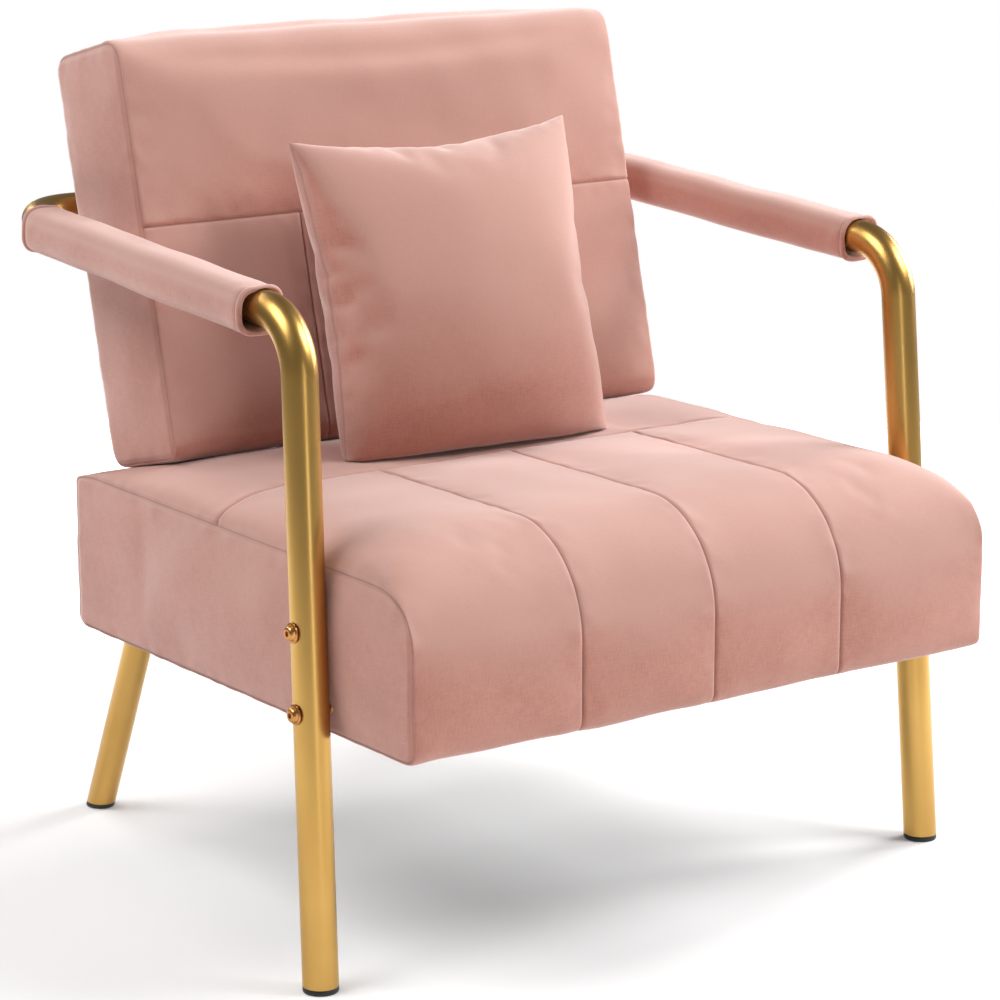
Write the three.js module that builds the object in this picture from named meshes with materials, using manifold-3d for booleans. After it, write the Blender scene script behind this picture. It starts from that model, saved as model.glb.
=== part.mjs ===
// An upholstered armchair on bent metal tubes, in millimetres: +Z up, the front at -Y, left at -X.
// Soft pieces are plain solids here; the frame inside them is modelled piece by piece.
import * as THREE from "three";
import { mergeVertices } from "three/addons/utils/BufferGeometryUtils.js";
import Module from "manifold-3d";

const wasm = await Module();
wasm.setup();

// ---- driving dimensions ----
const GAP = 0.3; // between pieces that touch
const SEAT = { half: 324, front: -341, rear: 232, bottom: 221.5, top: 399.2, round: 12, corner: 14 };
const SEAT_NOSE = { y: -243, z: 310 }; // centre of the elliptical front rounding
const BACK = { half: 286, thick: 125, height: 398, y: 99.5, z: 399.8, round: 22, corner: 26 };
const RECLINE = THREE.MathUtils.degToRad(13.78);
const TUBE = { r: 16, wall: 1.5, bend: 55 };
const REAR_TUBE = { r: 14, wall: 1.5 };
const FRONT_FOOT = new THREE.Vector3(351, -237, 0);
const ARM_FRONT = new THREE.Vector3(338.1, -194.1, 583.2);
const ARM_REAR = new THREE.Vector3(333.5, 307, 611.8);
const RETURN_END = 130; // x where the tube ends behind the back
const REAR_FOOT = new THREE.Vector3(252.5, 325.4, 0);
const REAR_TOP = new THREE.Vector3(261, 212, 221);
const CAP = { height: 5, plug: 24 };
const SLEEVE = { from: -141, to: 253, across: 22, down: 24.5, drop: 1.5 };
const LEG_BOLT_Z = [247, 318];
const BOLT = { r: 4, head: 7, headHeight: 4.2, flange: 9, flangeHeight: 1.4, socket: 2.9 };
const SCREW = { r: 3, head: 5.2, headHeight: 3.2, flange: 5.8, flangeHeight: 0.8, socket: 2.1 };
const RAIL = { thick: 22, base: 224, end: 299, side: 336 };
const CAVITY = { x: 302, front: -319, rear: 219, top: 338 };
const POST = { inner: 165, outer: 205, v: 98, thick: 22, low: 14, high: 340 };
const STRAP = { inner: 170, outer: 200, thick: 3.7, low: 232, high: 80 };
const RETURN_BOLT_X = [155, 195];
const PLATE = { x0: 232, x1: 300, y0: 158, y1: 230, z0: 217.2, z1: 221.2, screwX: [240, 291], screwY: [168, 212] };
const BLOCK_LEG = { front: 60, rear: 76, height: 50 };
const SPRING = { xs: [-145, -55, 55, 145], wire: 1.8, half: 21, rise: 14, bends: 12 };
const PILLOW = { side: 305, half: 76, x: -14, y: -3, z: 403.5, tilt: 14.9, yaw: -5, roll: 1.4 };

// ---- looks ----
const LOOKS = {
  velvet: { color: 0xcfa198, roughness: 0.9, metalness: 0 },
  gold: { color: 0xcfa050, roughness: 0.28, metalness: 1 },
  bolt_steel: { color: 0xb4794a, roughness: 0.35, metalness: 1 },
  black_plastic: { color: 0x17181a, roughness: 0.5, metalness: 0 },
  beech: { color: 0xd2b184, roughness: 0.7, metalness: 0 },
  spring_steel: { color: 0x4b4e52, roughness: 0.45, metalness: 1 },
  lining: { color: 0x1d1d20, roughness: 0.95, metalness: 0 },
};

// ---- solids: three.js geometry in and out of manifold-3d, which only joins and cuts ----
function toSolid(geometry) {
  const bare = geometry.index ? geometry.toNonIndexed() : geometry.clone();
  bare.deleteAttribute("normal");
  bare.deleteAttribute("uv");
  const merged = mergeVertices(bare, 1e-3);
  return new wasm.Manifold(
    new wasm.Mesh({
      numProp: 3,
      vertProperties: merged.attributes.position.array,
      triVerts: new Uint32Array(merged.index.array),
    }),
  );
}

function toGeometry(solid) {
  const { vertProperties, triVerts } = solid.getMesh();
  const geometry = new THREE.BufferGeometry();
  geometry.setAttribute("position", new THREE.BufferAttribute(vertProperties, 3));
  geometry.setIndex(new THREE.BufferAttribute(triVerts, 1));
  const faceted = geometry.toNonIndexed();
  faceted.computeVertexNormals();
  return faceted;
}

const cut = (geometry, tools) =>
  toGeometry(tools.reduce((left, tool) => left.subtract(toSolid(tool)), toSolid(geometry)));
const join = (geometries) =>
  toGeometry(geometries.map(toSolid).reduce((sum, next) => sum.add(next)));
const common = (a, b) => toGeometry(toSolid(a).intersect(toSolid(b)));

// ---- shapes ----
function box(x0, x1, y0, y1, z0, z1) {
  const size = new THREE.BoxGeometry(Math.abs(x1 - x0), Math.abs(y1 - y0), Math.abs(z1 - z0));
  return size.translate((x0 + x1) / 2, (y0 + y1) / 2, (z0 + z1) / 2);
}

// A round bar between two points.
function rod(from, to, radius, sides = 20) {
  const along = new THREE.Vector3().subVectors(to, from);
  const bar = new THREE.CylinderGeometry(radius, radius, along.length(), sides);
  const turn = new THREE.Quaternion().setFromUnitVectors(new THREE.Vector3(0, 1, 0), along.clone().normalize());
  bar.applyQuaternion(turn);
  const middle = new THREE.Vector3().addVectors(from, to).multiplyScalar(0.5);
  return bar.translate(middle.x, middle.y, middle.z);
}

// A path through given stations: straights are one step and only the bends are divided.
class StationPath extends THREE.Curve {
  constructor(stations) {
    super();
    this.stations = stations;
    this.steps = stations.length - 1;
  }
  at(t) {
    return this.stations[Math.round(t * this.steps)];
  }
  getPointAt(t) {
    return this.at(t).point.clone();
  }
  getTangentAt(t) {
    return this.at(t).tangent.clone();
  }
}

function bentPath(corners, bend, divisions = 8) {
  const legs = corners.slice(1).map((c, i) => new THREE.Vector3().subVectors(c, corners[i]).normalize());
  const stations = [{ point: corners[0], tangent: legs[0] }];
  for (let i = 1; i < corners.length - 1; i++) {
    const [before, after] = [legs[i - 1], legs[i]];
    const turn = before.angleTo(after);
    const setback = bend * Math.tan(turn / 2);
    const inward = new THREE.Vector3().subVectors(after, before).normalize();
    const centre = corners[i].clone().addScaledVector(inward, setback / Math.sin(turn / 2));
    const axis = new THREE.Vector3().crossVectors(before, after).normalize();
    const start = corners[i].clone().addScaledVector(before, -setback);
    for (let k = 0; k <= divisions; k++) {
      const angle = (turn * k) / divisions;
      const point = start.clone().sub(centre).applyAxisAngle(axis, angle).add(centre);
      stations.push({ point, tangent: before.clone().applyAxisAngle(axis, angle) });
    }
  }
  stations.push({ point: corners.at(-1), tangent: legs.at(-1) });
  return new StationPath(stations);
}

function roundSection(radius, inner = 0) {
  const section = new THREE.Shape();
  section.absarc(0, 0, radius, 0, 2 * Math.PI);
  if (inner > 0) section.holes.push(new THREE.Path().absarc(0, 0, inner, 0, 2 * Math.PI, true));
  return section;
}

const sweep = (section, path, curveSegments = 10) =>
  new THREE.ExtrudeGeometry(section, { steps: path.steps, curveSegments, extrudePath: path });

// An outline in the Y-Z plane, extruded along X with rounded ends, centred on x = 0.
function slab(outline, halfWidth, round) {
  const depth = 2 * (halfWidth - round);
  const options = { depth, bevelThickness: round, bevelSize: round, bevelOffset: -round };
  const body = new THREE.ExtrudeGeometry(outline, { ...options, bevelSegments: 3, curveSegments: 6 });
  body.translate(0, 0, -depth / 2);
  const [x, y, z] = [new THREE.Vector3(1, 0, 0), new THREE.Vector3(0, 1, 0), new THREE.Vector3(0, 0, 1)];
  return body.applyMatrix4(new THREE.Matrix4().makeBasis(y, z, x));
}

// A button-head bolt: the head's flat side at `seat`, the shank running `length` along `along`.
function bolt({ seat, along, length, kind }) {
  const at = (s) => seat.clone().addScaledVector(along, s);
  const flangeTop = -kind.flangeHeight;
  const headTop = flangeTop - kind.headHeight;
  const whole = join([
    rod(at(flangeTop), at(0), kind.flange),
    rod(at(headTop), at(flangeTop + 0.2), kind.head),
    rod(at(-0.2), at(length), kind.r, 12),
  ]);
  return cut(whole, [rod(at(headTop - 1), at(headTop + 2.2), kind.socket, 6)]);
}

// The hole each bolt leaves in what it passes through.
const drills = (bolts) =>
  bolts.map(({ seat, along, length, kind }) => {
    const at = (s) => seat.clone().addScaledVector(along, s);
    return rod(at(-1), at(length + 1), kind.r + GAP, 12);
  });

// ---- the object and its groups ----
const armchair = new THREE.Group();
const backGroup = new THREE.Group();
backGroup.position.set(0, BACK.y, BACK.z);
backGroup.rotation.x = -RECLINE;
const pillowGroup = new THREE.Group();
armchair.add(backGroup, pillowGroup);
backGroup.updateMatrix();
const SIDES = { left: -1, right: 1 };

function add(name, look, geometry, group = armchair) {
  const mesh = new THREE.Mesh(geometry, new THREE.MeshStandardMaterial(LOOKS[look]));
  mesh.name = name;
  group.add(mesh);
}

const onSide = (v, side) => new THREE.Vector3(v.x * side, v.y, v.z);
const toBack = (v) => v.clone().applyMatrix4(backGroup.matrix.clone().invert());

// ---- front leg, arm and rear return: one bent tube a side ----
const legAt = (z) => FRONT_FOOT.clone().lerp(ARM_FRONT, z / ARM_FRONT.z);

function armPath(side) {
  const end = new THREE.Vector3(RETURN_END, ARM_REAR.y, ARM_REAR.z);
  const below = FRONT_FOOT.clone().lerp(ARM_FRONT, -0.05);
  return bentPath([below, ARM_FRONT, ARM_REAR, end].map((c) => onSide(c, side)), TUBE.bend);
}

const legBolts = (side) =>
  LEG_BOLT_Z.map((z) => {
    const seat = onSide(legAt(z).add(new THREE.Vector3(TUBE.r + GAP, 0, 0)), side);
    return { seat, along: new THREE.Vector3(-side, 0, 0), length: 92, kind: BOLT };
  });

const RETURN_LOCAL = toBack(ARM_REAR);
const returnBolts = (side) =>
  RETURN_BOLT_X.map((x) => ({
    seat: new THREE.Vector3(x * side, RETURN_LOCAL.y + TUBE.r + GAP, RETURN_LOCAL.z),
    along: new THREE.Vector3(0, -1, 0),
    length: 66,
    kind: BOLT,
  }));

const fromBack = (geometry) => geometry.applyMatrix4(backGroup.matrix);
const belowFloorCut = box(-500, 500, -500, 500, -60, CAP.height + GAP);

function addArmFrame(name, side) {
  const tube = sweep(roundSection(TUBE.r, TUBE.r - TUBE.wall), armPath(side));
  const holes = [...drills(legBolts(side)), ...drills(returnBolts(side)).map(fromBack)];
  add(`arm_frame_${name}`, "gold", cut(tube, [belowFloorCut, ...holes]));
  legBolts(side).forEach((b, i) =>
    add(`leg_bolt_${name}_${i + 1}`, "bolt_steel", bolt(b)));
  returnBolts(side).forEach((b, i) =>
    add(`return_bolt_${name}_${i + 1}`, "bolt_steel", bolt(b), backGroup));
  const end = new THREE.Vector3(RETURN_END * side, ARM_REAR.y, ARM_REAR.z);
  const step = (x) => end.clone().add(new THREE.Vector3(x * side, 0, 0));
  const plug = [rod(step(-3), step(-GAP), TUBE.r), rod(step(-1), step(15), TUBE.r - TUBE.wall - GAP)];
  add(`return_plug_${name}`, "black_plastic", join(plug));
}

// Plastic pad between the leg tube and the seat, and saddle between the return and the back.
function addSpacers(name, side) {
  const inner = SEAT.half + GAP;
  const [low, high] = [LEG_BOLT_Z[0] - 14, LEG_BOLT_Z[1] + 14];
  const middle = legAt((low + high) / 2).y;
  const pad = box(side * inner, side * (inner + 7), middle - 7, middle + 7, low, high);
  const legCore = rod(onSide(legAt(-20), side), onSide(legAt(480), side), TUBE.r + GAP);
  add(`leg_pad_${name}`, "black_plastic", cut(pad, [legCore, ...drills(legBolts(side))]));
  const { y, z } = RETURN_LOCAL;
  const saddle = box(side * 140, side * 225, BACK.thick + GAP, y - 5, z - 13, z + 13);
  const ends = [120, 240].map((x) => new THREE.Vector3(x * side, y, z));
  const returnCore = rod(ends[0], ends[1], TUBE.r + GAP);
  add(`return_saddle_${name}`, "black_plastic", cut(saddle, [returnCore, ...drills(returnBolts(side))]), backGroup);
}

function addArmSleeve(name, side) {
  const arm = new THREE.Vector3().subVectors(ARM_REAR, ARM_FRONT).normalize();
  const at = (y) => ARM_FRONT.clone().addScaledVector(arm, (y - ARM_FRONT.y) / arm.y);
  const ends = [SLEEVE.from, SLEEVE.to].map((y) => onSide(at(y), side));
  const path = new StationPath(ends.map((point) => ({ point, tangent: onSide(arm, side) })));
  const section = new THREE.Shape();
  section.absellipse(0, 0, SLEEVE.down, SLEEVE.down, 0, 2 * Math.PI);
  section.holes.push(new THREE.Path().absarc(0, 0, TUBE.r + GAP, 0, 2 * Math.PI, true));
  const round = sweep(section, path, 12);
  const keep = box(ends[0].x - side * 60, ends[0].x + side * 60, -400, 400, 400, 760);
  const flank = SLEEVE.across;
  const trimmed = [-1, 1].map((s) => {
    const mid = onSide(at((SLEEVE.from + SLEEVE.to) / 2), side);
    return box(mid.x + s * (flank + 0.01), mid.x + s * (flank + 40), -400, 400, 400, 760);
  });
  add(`arm_sleeve_${name}`, "velvet", cut(common(round, keep), trimmed));
}

// ---- feet ----
// The part of a leaning leg's end between the floor and the tube, with a plug up the bore.
function footCap(foot, top, tube) {
  const along = new THREE.Vector3().subVectors(top, foot).normalize();
  const at = (s) => foot.clone().addScaledVector(along, s);
  const disc = common(rod(at(-40), at(60), tube.r), box(-500, 500, -500, 500, 0, CAP.height));
  const plug = common(
    rod(at(-40), at(80), tube.r - tube.wall - GAP),
    box(-500, 500, -500, 500, CAP.height - 1, CAP.plug),
  );
  return join([disc, plug]);
}

// ---- rear legs: a leaning tube welded to a plate under the seat ----
const plateBolts = (side) =>
  PLATE.screwX.flatMap((x) =>
    PLATE.screwY.map((y) => ({
      seat: new THREE.Vector3(x * side, y, PLATE.z0 - GAP),
      along: new THREE.Vector3(0, 0, 1),
      length: 34,
      kind: SCREW,
    })),
  );

function addRearLeg(name, side) {
  const [foot, top] = [onSide(REAR_FOOT, side), onSide(REAR_TOP, side)];
  const along = new THREE.Vector3().subVectors(top, foot).normalize();
  const path = new StationPath([
    { point: foot.clone().addScaledVector(along, -40), tangent: along },
    { point: top.clone().addScaledVector(along, 40), tangent: along },
  ]);
  const tube = sweep(roundSection(REAR_TUBE.r, REAR_TUBE.r - REAR_TUBE.wall), path);
  const leg = cut(tube, [belowFloorCut, box(-500, 500, -500, 500, PLATE.z0 + 1, 400)]);
  const plate = box(side * PLATE.x0, side * PLATE.x1, PLATE.y0, PLATE.y1, PLATE.z0, PLATE.z1);
  add(`rear_leg_${name}`, "gold", cut(join([leg, plate]), drills(plateBolts(side))));
  plateBolts(side).forEach((b, i) =>
    add(`plate_bolt_${name}_${i + 1}`, "bolt_steel", bolt(b)));
  add(`rear_foot_cap_${name}`, "black_plastic", footCap(foot, top, REAR_TUBE));
  const frontFoot = onSide(FRONT_FOOT, side);
  add(`front_foot_cap_${name}`, "black_plastic", footCap(frontFoot, onSide(ARM_FRONT, side), TUBE));
}

// ---- seat ----
function seatOutline() {
  const { front, rear, bottom, top, corner } = SEAT;
  const slope = Math.tan(RECLINE);
  const rearTop = top - (rear - BACK.y) * slope;
  const outline = new THREE.Shape();
  outline.moveTo(front, bottom + corner);
  outline.lineTo(front, SEAT_NOSE.z);
  outline.absellipse(SEAT_NOSE.y, SEAT_NOSE.z, SEAT_NOSE.y - front, top - SEAT_NOSE.z, Math.PI, Math.PI / 2, true);
  outline.lineTo(BACK.y, top);
  outline.lineTo(rear - corner, rearTop + corner * slope);
  outline.quadraticCurveTo(rear, rearTop, rear, rearTop - corner);
  outline.lineTo(rear, bottom + corner);
  outline.absarc(rear - corner, bottom + corner, corner, 0, -Math.PI / 2, true);
  outline.lineTo(front + corner, bottom);
  outline.absarc(front + corner, bottom + corner, corner, -Math.PI / 2, -Math.PI, true);
  return outline;
}

function addSeat() {
  const body = slab(seatOutline(), SEAT.half, SEAT.round);
  const hollow = box(-CAVITY.x, CAVITY.x, CAVITY.front, CAVITY.rear, SEAT.bottom - 10, CAVITY.top);
  const strapSlots = [-1, 1].map((s) =>
    box(s * (STRAP.inner - GAP), s * (STRAP.outer + GAP), strapFront - GAP, railFront, CAVITY.top - 1, SEAT.top));
  const boltHoles = [-1, 1].flatMap((side) => drills(legBolts(side)));
  add("seat_upholstery", "velvet", cut(body, [hollow, ...strapSlots, ...boltHoles]));
}

const railFront = CAVITY.rear - GAP - RAIL.thick;
const strapFront = railFront - GAP - STRAP.thick;

function addSeatFrame() {
  const outer = CAVITY.x - GAP;
  const inner = outer - RAIL.thick;
  const [front, rear] = [CAVITY.front + GAP, CAVITY.rear - GAP];
  const half = inner - GAP;
  const { base, end, side: sideTop, thick } = RAIL;
  const strap = [-1, 1].flatMap((side) => drills([strapBolts(side)[0]]));
  const plates = [-1, 1].flatMap((side) => drills(plateBolts(side)));
  add("seat_rail_front", "beech", box(-half, half, front, front + thick, base, end));
  add("seat_rail_rear", "beech", cut(box(-half, half, rear - thick, rear, base, end), [...strap, ...plates]));
  for (const [name, side] of Object.entries(SIDES)) {
    const rail = box(side * inner, side * outer, front, rear, base, sideTop);
    add(`seat_rail_${name}`, "beech", cut(rail, [...drills(legBolts(side)), ...plates]));
    for (const [place, y, into] of [["front", front + thick + GAP, 1], ["rear", rear - thick - GAP, -1]]) {
      add(`corner_block_${place}_${name}`, "beech", cornerBlock(side, half, y, into, BLOCK_LEG[place], plates));
    }
  }
}

// A triangular glue block in an inside corner of the seat frame.
function cornerBlock(side, half, y, into, leg, holes) {
  const x = side * half;
  const shape = new THREE.Shape([
    new THREE.Vector2(x, y),
    new THREE.Vector2(x, y + into * leg),
    new THREE.Vector2(x - side * leg, y),
  ]);
  const block = new THREE.ExtrudeGeometry(shape, { depth: BLOCK_LEG.height, bevelEnabled: false });
  return cut(block.translate(0, 0, RAIL.base), into < 0 ? holes : []);
}

// A sinuous spring: a wire that snakes from the front rail to the rear rail with a slight rise.
function springPath(x) {
  const { bends, half, rise, wire } = SPRING;
  const [y0, y1] = [CAVITY.front + GAP + RAIL.thick / 2, railFront + RAIL.thick / 2];
  const z0 = RAIL.end + wire + GAP;
  const steps = bends * 4;
  const point = (t) => {
    const swing = half * Math.sin(Math.PI * bends * t) * Math.min(1, 8 * t, 8 * (1 - t));
    const arch = rise * Math.sin(Math.PI * t);
    return new THREE.Vector3(x + swing, y0 + (y1 - y0) * t, z0 + arch);
  };
  const stations = Array.from({ length: steps + 1 }, (_, i) => {
    const t = i / steps;
    const tangent = new THREE.Vector3().subVectors(point(t + 0.002), point(t - 0.002)).normalize();
    return { point: point(t), tangent };
  });
  return new StationPath(stations);
}

function addSprings() {
  SPRING.xs.forEach((x, i) =>
    add(`seat_spring_${i + 1}`, "spring_steel", sweep(roundSection(SPRING.wire), springPath(x), 3)));
}

function addDustCover() {
  const [x, front, rear] = [CAVITY.x - GAP, CAVITY.front + GAP, CAVITY.rear - GAP];
  const sheet = box(-x, x, front, rear, SEAT.bottom + 0.5, SEAT.bottom + 1.9);
  add("dust_cover", "lining", cut(sheet, [-1, 1].flatMap((side) => drills(plateBolts(side)))));
}

// ---- straps that tie the back to the seat's rear rail ----
const strapBolts = (side) => {
  const x = (side * (STRAP.inner + STRAP.outer)) / 2;
  const low = new THREE.Vector3(x, strapFront - GAP, 262);
  const high = new THREE.Vector3(x, POST.v - 2 * GAP - STRAP.thick, 52);
  return [
    { seat: low, along: new THREE.Vector3(0, 1, 0), length: 22, kind: SCREW },
    { seat: high, along: new THREE.Vector3(0, 1, 0), length: 22, kind: SCREW },
  ];
};

function strap(side) {
  const rearFace = railFront - GAP;
  const [vFront, vRear] = [POST.v - GAP - STRAP.thick, POST.v - GAP];
  const onBack = (v, u) => {
    const p = new THREE.Vector3(0, v, u).applyMatrix4(backGroup.matrix);
    return new THREE.Vector2(p.y, p.z);
  };
  // where the upright meets the leaning part, on each face
  const kneeU = (v, y) => (y - BACK.y - v * Math.cos(RECLINE)) / Math.sin(RECLINE);
  const knee = (v, y) => onBack(v, kneeU(v, y));
  const outline = new THREE.Shape([
    new THREE.Vector2(strapFront, STRAP.low),
    new THREE.Vector2(rearFace, STRAP.low),
    knee(vRear, rearFace),
    onBack(vRear, STRAP.high),
    onBack(vFront, STRAP.high),
    knee(vFront, strapFront),
  ]);
  const depth = STRAP.outer - STRAP.inner;
  const bar = new THREE.ExtrudeGeometry(outline, { depth, bevelEnabled: false });
  const [x, y, z] = [new THREE.Vector3(1, 0, 0), new THREE.Vector3(0, 1, 0), new THREE.Vector3(0, 0, 1)];
  bar.applyMatrix4(new THREE.Matrix4().makeBasis(y, z, x));
  bar.translate(side > 0 ? STRAP.inner : -STRAP.outer, 0, 0);
  const [low, high] = strapBolts(side);
  return cut(bar, [...drills([low]), ...drills([high]).map(fromBack)]);
}

function addStraps(name, side) {
  add(`back_strap_${name}`, "spring_steel", strap(side));
  const [low, high] = strapBolts(side);
  add(`strap_bolt_${name}_low`, "bolt_steel", bolt(low));
  add(`strap_bolt_${name}_high`, "bolt_steel", bolt(high), backGroup);
}

// ---- back, in its own leaning frame: x across, y through the thickness, z up the slope ----
function backOutline() {
  const { thick, height, corner: r } = BACK;
  const outline = new THREE.Shape();
  outline.moveTo(r, 0);
  outline.lineTo(thick - r, 0);
  outline.absarc(thick - r, r, r, -Math.PI / 2, 0, false);
  outline.lineTo(thick, height - r);
  outline.absarc(thick - r, height - r, r, 0, Math.PI / 2, false);
  outline.lineTo(r, height);
  outline.absarc(r, height - r, r, Math.PI / 2, Math.PI, false);
  outline.lineTo(0, r);
  outline.absarc(r, r, r, Math.PI, 1.5 * Math.PI, false);
  return outline;
}

function addBack() {
  const body = slab(backOutline(), BACK.half, BACK.round);
  const [v0, v1] = [POST.v - GAP, POST.v + POST.thick + GAP];
  const hollow = box(-POST.outer - GAP, POST.outer + GAP, v0, v1, -10, POST.high + 42);
  const strapPockets = [-1, 1].map((s) =>
    box(s * (STRAP.inner - GAP), s * (STRAP.outer + GAP), v0 - 12, v0 + 1, -10, STRAP.high + GAP));
  const boltHoles = [-1, 1].flatMap((side) => drills(returnBolts(side)));
  add("back_upholstery", "velvet", cut(body, [hollow, ...strapPockets, ...boltHoles]), backGroup);
}

function addBackFrame() {
  const [v0, v1] = [POST.v, POST.v + POST.thick];
  const between = POST.inner - GAP;
  const holes = [-1, 1].flatMap((side) => [...drills(returnBolts(side)), ...drills([strapBolts(side)[1]])]);
  for (const [name, side] of Object.entries(SIDES)) {
    const post = box(side * POST.inner, side * POST.outer, v0, v1, POST.low, POST.high);
    add(`back_post_${name}`, "beech", cut(post, holes), backGroup);
  }
  const u = RETURN_LOCAL.z;
  add("back_rail_top", "beech", box(-POST.outer, POST.outer, v0, v1, POST.high + GAP, POST.high + 41), backGroup);
  add("back_rail_middle", "beech", cut(box(-between, between, v0, v1, u - 25, u + 25), holes), backGroup);
  add("back_rail_bottom", "beech", box(-between, between, v0, v1, POST.low + 6, POST.low + 56), backGroup);
}

// ---- loose pillow: a square with pointed corners, thickest in the middle ----
function pillowGeometry() {
  const { side, half } = PILLOW;
  const cells = 16;
  const plate = new THREE.BoxGeometry(side, 2, side, cells, 1, cells).toNonIndexed();
  const position = plate.attributes.position;
  const p = new THREE.Vector3();
  for (let i = 0; i < position.count; i++) {
    p.fromBufferAttribute(position, i);
    const [a, b] = [(2 * p.x) / side, (2 * p.z) / side];
    const bulge = half * Math.pow((1 - a * a) * (1 - b * b), 0.42);
    const tuckX = 1 - 0.06 * (1 - b * b) * Math.abs(a);
    const tuckZ = 1 - 0.06 * (1 - a * a) * Math.abs(b);
    position.setXYZ(i, p.x * tuckX, Math.sign(p.y) * (2 + bulge), p.z * tuckZ + side / 2);
  }
  return plate;
}

function addPillow() {
  const { x, y, z, tilt, yaw, roll } = PILLOW;
  const rad = THREE.MathUtils.degToRad;
  pillowGroup.position.set(x, y, z);
  pillowGroup.rotation.set(rad(-tilt), rad(-roll), rad(yaw), "ZXY");
  add("throw_pillow", "velvet", toGeometry(toSolid(pillowGeometry())), pillowGroup);
}

addSeat();
addSeatFrame();
addSprings();
addDustCover();
addBack();
addBackFrame();
for (const [name, side] of Object.entries(SIDES)) {
  addArmFrame(name, side);
  addSpacers(name, side);
  addArmSleeve(name, side);
  addRearLeg(name, side);
  addStraps(name, side);
}
addPillow();

export default armchair;
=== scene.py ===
# %% [markdown]
# # An upholstered armchair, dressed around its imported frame
#
# The frame carries the true sizes: where the seat, the back, the bent tubes and the feet are. Everything
# here is built around it, in metres, +Z up, the front of the seat towards -Y, and left at -X. Each cell
# makes one thing and prints what it made.

# %% Load the frame
from math import cos, pi, radians, sin, sqrt, tan

import bmesh
import bpy
import numpy as np
from mathutils import Matrix, Vector, noise
from mathutils.bvhtree import BVHTree
from mathutils.kdtree import KDTree


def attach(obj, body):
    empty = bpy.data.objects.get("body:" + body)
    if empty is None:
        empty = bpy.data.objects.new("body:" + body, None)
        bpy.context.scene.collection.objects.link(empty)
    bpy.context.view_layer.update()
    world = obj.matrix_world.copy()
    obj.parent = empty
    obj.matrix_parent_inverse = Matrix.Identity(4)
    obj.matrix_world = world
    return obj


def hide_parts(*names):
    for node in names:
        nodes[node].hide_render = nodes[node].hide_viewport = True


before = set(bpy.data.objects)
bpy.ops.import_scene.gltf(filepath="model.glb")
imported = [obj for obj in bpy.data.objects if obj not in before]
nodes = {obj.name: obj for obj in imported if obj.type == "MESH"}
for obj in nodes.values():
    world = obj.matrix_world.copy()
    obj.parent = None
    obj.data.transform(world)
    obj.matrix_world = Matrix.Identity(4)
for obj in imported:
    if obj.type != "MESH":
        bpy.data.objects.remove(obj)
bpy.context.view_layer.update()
MM = 0.001
SIDES = {"left": -1, "right": 1}

# %% [markdown]
# The few sizes that steer the shapes are named here, in millimetres. They repeat the frame's own
# dimensions, because a sewn cover follows the block it is pulled over.

# %% Driving sizes
SEAT_HALF, SEAT_FRONT, SEAT_REAR, SEAT_BOTTOM = 324, -341, 232, 221.5
SEAM_HEIGHT, CROWN_HEIGHT = 373, 398
CROSS_SEAM_Y = -31
CHANNEL_SEAMS = (-147, 0, 147)
BACK_HALF, BACK_THICK, BACK_HEIGHT = 286, 125, 398
BACK_FOOT = Vector((0, 99.5, 399.8))
RECLINE = radians(13.78)
BACK_SEAM = 220.5
BACK_PANELS = (-114, 114)
TUBE_R, BEND_R, REAR_TUBE_R = 16, 55, 14
FRONT_FOOT = Vector((351, -237, 0))
ARM_FRONT, ARM_REAR = Vector((338.1, -194.1, 583.2)), Vector((333.5, 307, 611.8))
RETURN_END = 130
REAR_FOOT, REAR_TOP = Vector((252.5, 325.4, 0)), Vector((261, 212, 221))
SLEEVE_ENDS = (-141, 253)
CAP_HEIGHT = 5
PILLOW_SIDE = 305
print("seat block", 2 * SEAT_HALF, "x", SEAT_REAR - SEAT_FRONT, "mm")
print("back block", 2 * BACK_HALF, "x", BACK_HEIGHT, "mm, leaning", round(RECLINE * 180 / pi, 2), "degrees")

# %% [markdown]
# The camera stands to the front left, a little above the arms, with a long lens, so the chair's
# parallel edges stay nearly parallel. It is made first, since every later choice is judged through it.

# %% Camera
CAMERA_AZIMUTH, CAMERA_ELEVATION, CAMERA_DISTANCE = radians(-35.84), radians(13.23), 3.2751
LENS_MM, SENSOR_MM = 124.32, 36
AIM = Vector((-0.0107, -0.0316, 0.3517))


def add_camera():
    back = Vector((
        sin(CAMERA_AZIMUTH) * cos(CAMERA_ELEVATION),
        -cos(CAMERA_AZIMUTH) * cos(CAMERA_ELEVATION),
        sin(CAMERA_ELEVATION),
    ))
    data = bpy.data.cameras.new("camera")
    data.lens, data.sensor_width = LENS_MM, SENSOR_MM
    camera = bpy.data.objects.new("camera", data)
    bpy.context.scene.collection.objects.link(camera)
    camera.location = AIM + CAMERA_DISTANCE * back
    camera.rotation_euler = back.to_track_quat("Z", "Y").to_euler()
    bpy.context.scene.camera = camera
    return camera


camera = add_camera()
print("camera at", [round(c, 3) for c in camera.location])

# %% [markdown]
# Materials are node trees, and their maths reads best as plain expressions. `Sock` wraps one socket:
# `+ - *` on it add Math nodes, and `Shader.node` makes any other node from its type, its settings and
# the values or links of its inputs.

# %% A small language for shader maths
class Sock:
    def __init__(self, shader, socket):
        self.shader, self.socket = shader, socket

    def _math(self, operation, a, b):
        return self.shader.node("ShaderNodeMath", {"operation": operation}, {0: a, 1: b})

    def __add__(self, other):
        return self._math("ADD", self, other)

    def __radd__(self, other):
        return self._math("ADD", other, self)

    def __sub__(self, other):
        return self._math("SUBTRACT", self, other)

    def __rsub__(self, other):
        return self._math("SUBTRACT", other, self)

    def __mul__(self, other):
        return self._math("MULTIPLY", self, other)

    def __rmul__(self, other):
        return self._math("MULTIPLY", other, self)


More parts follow.
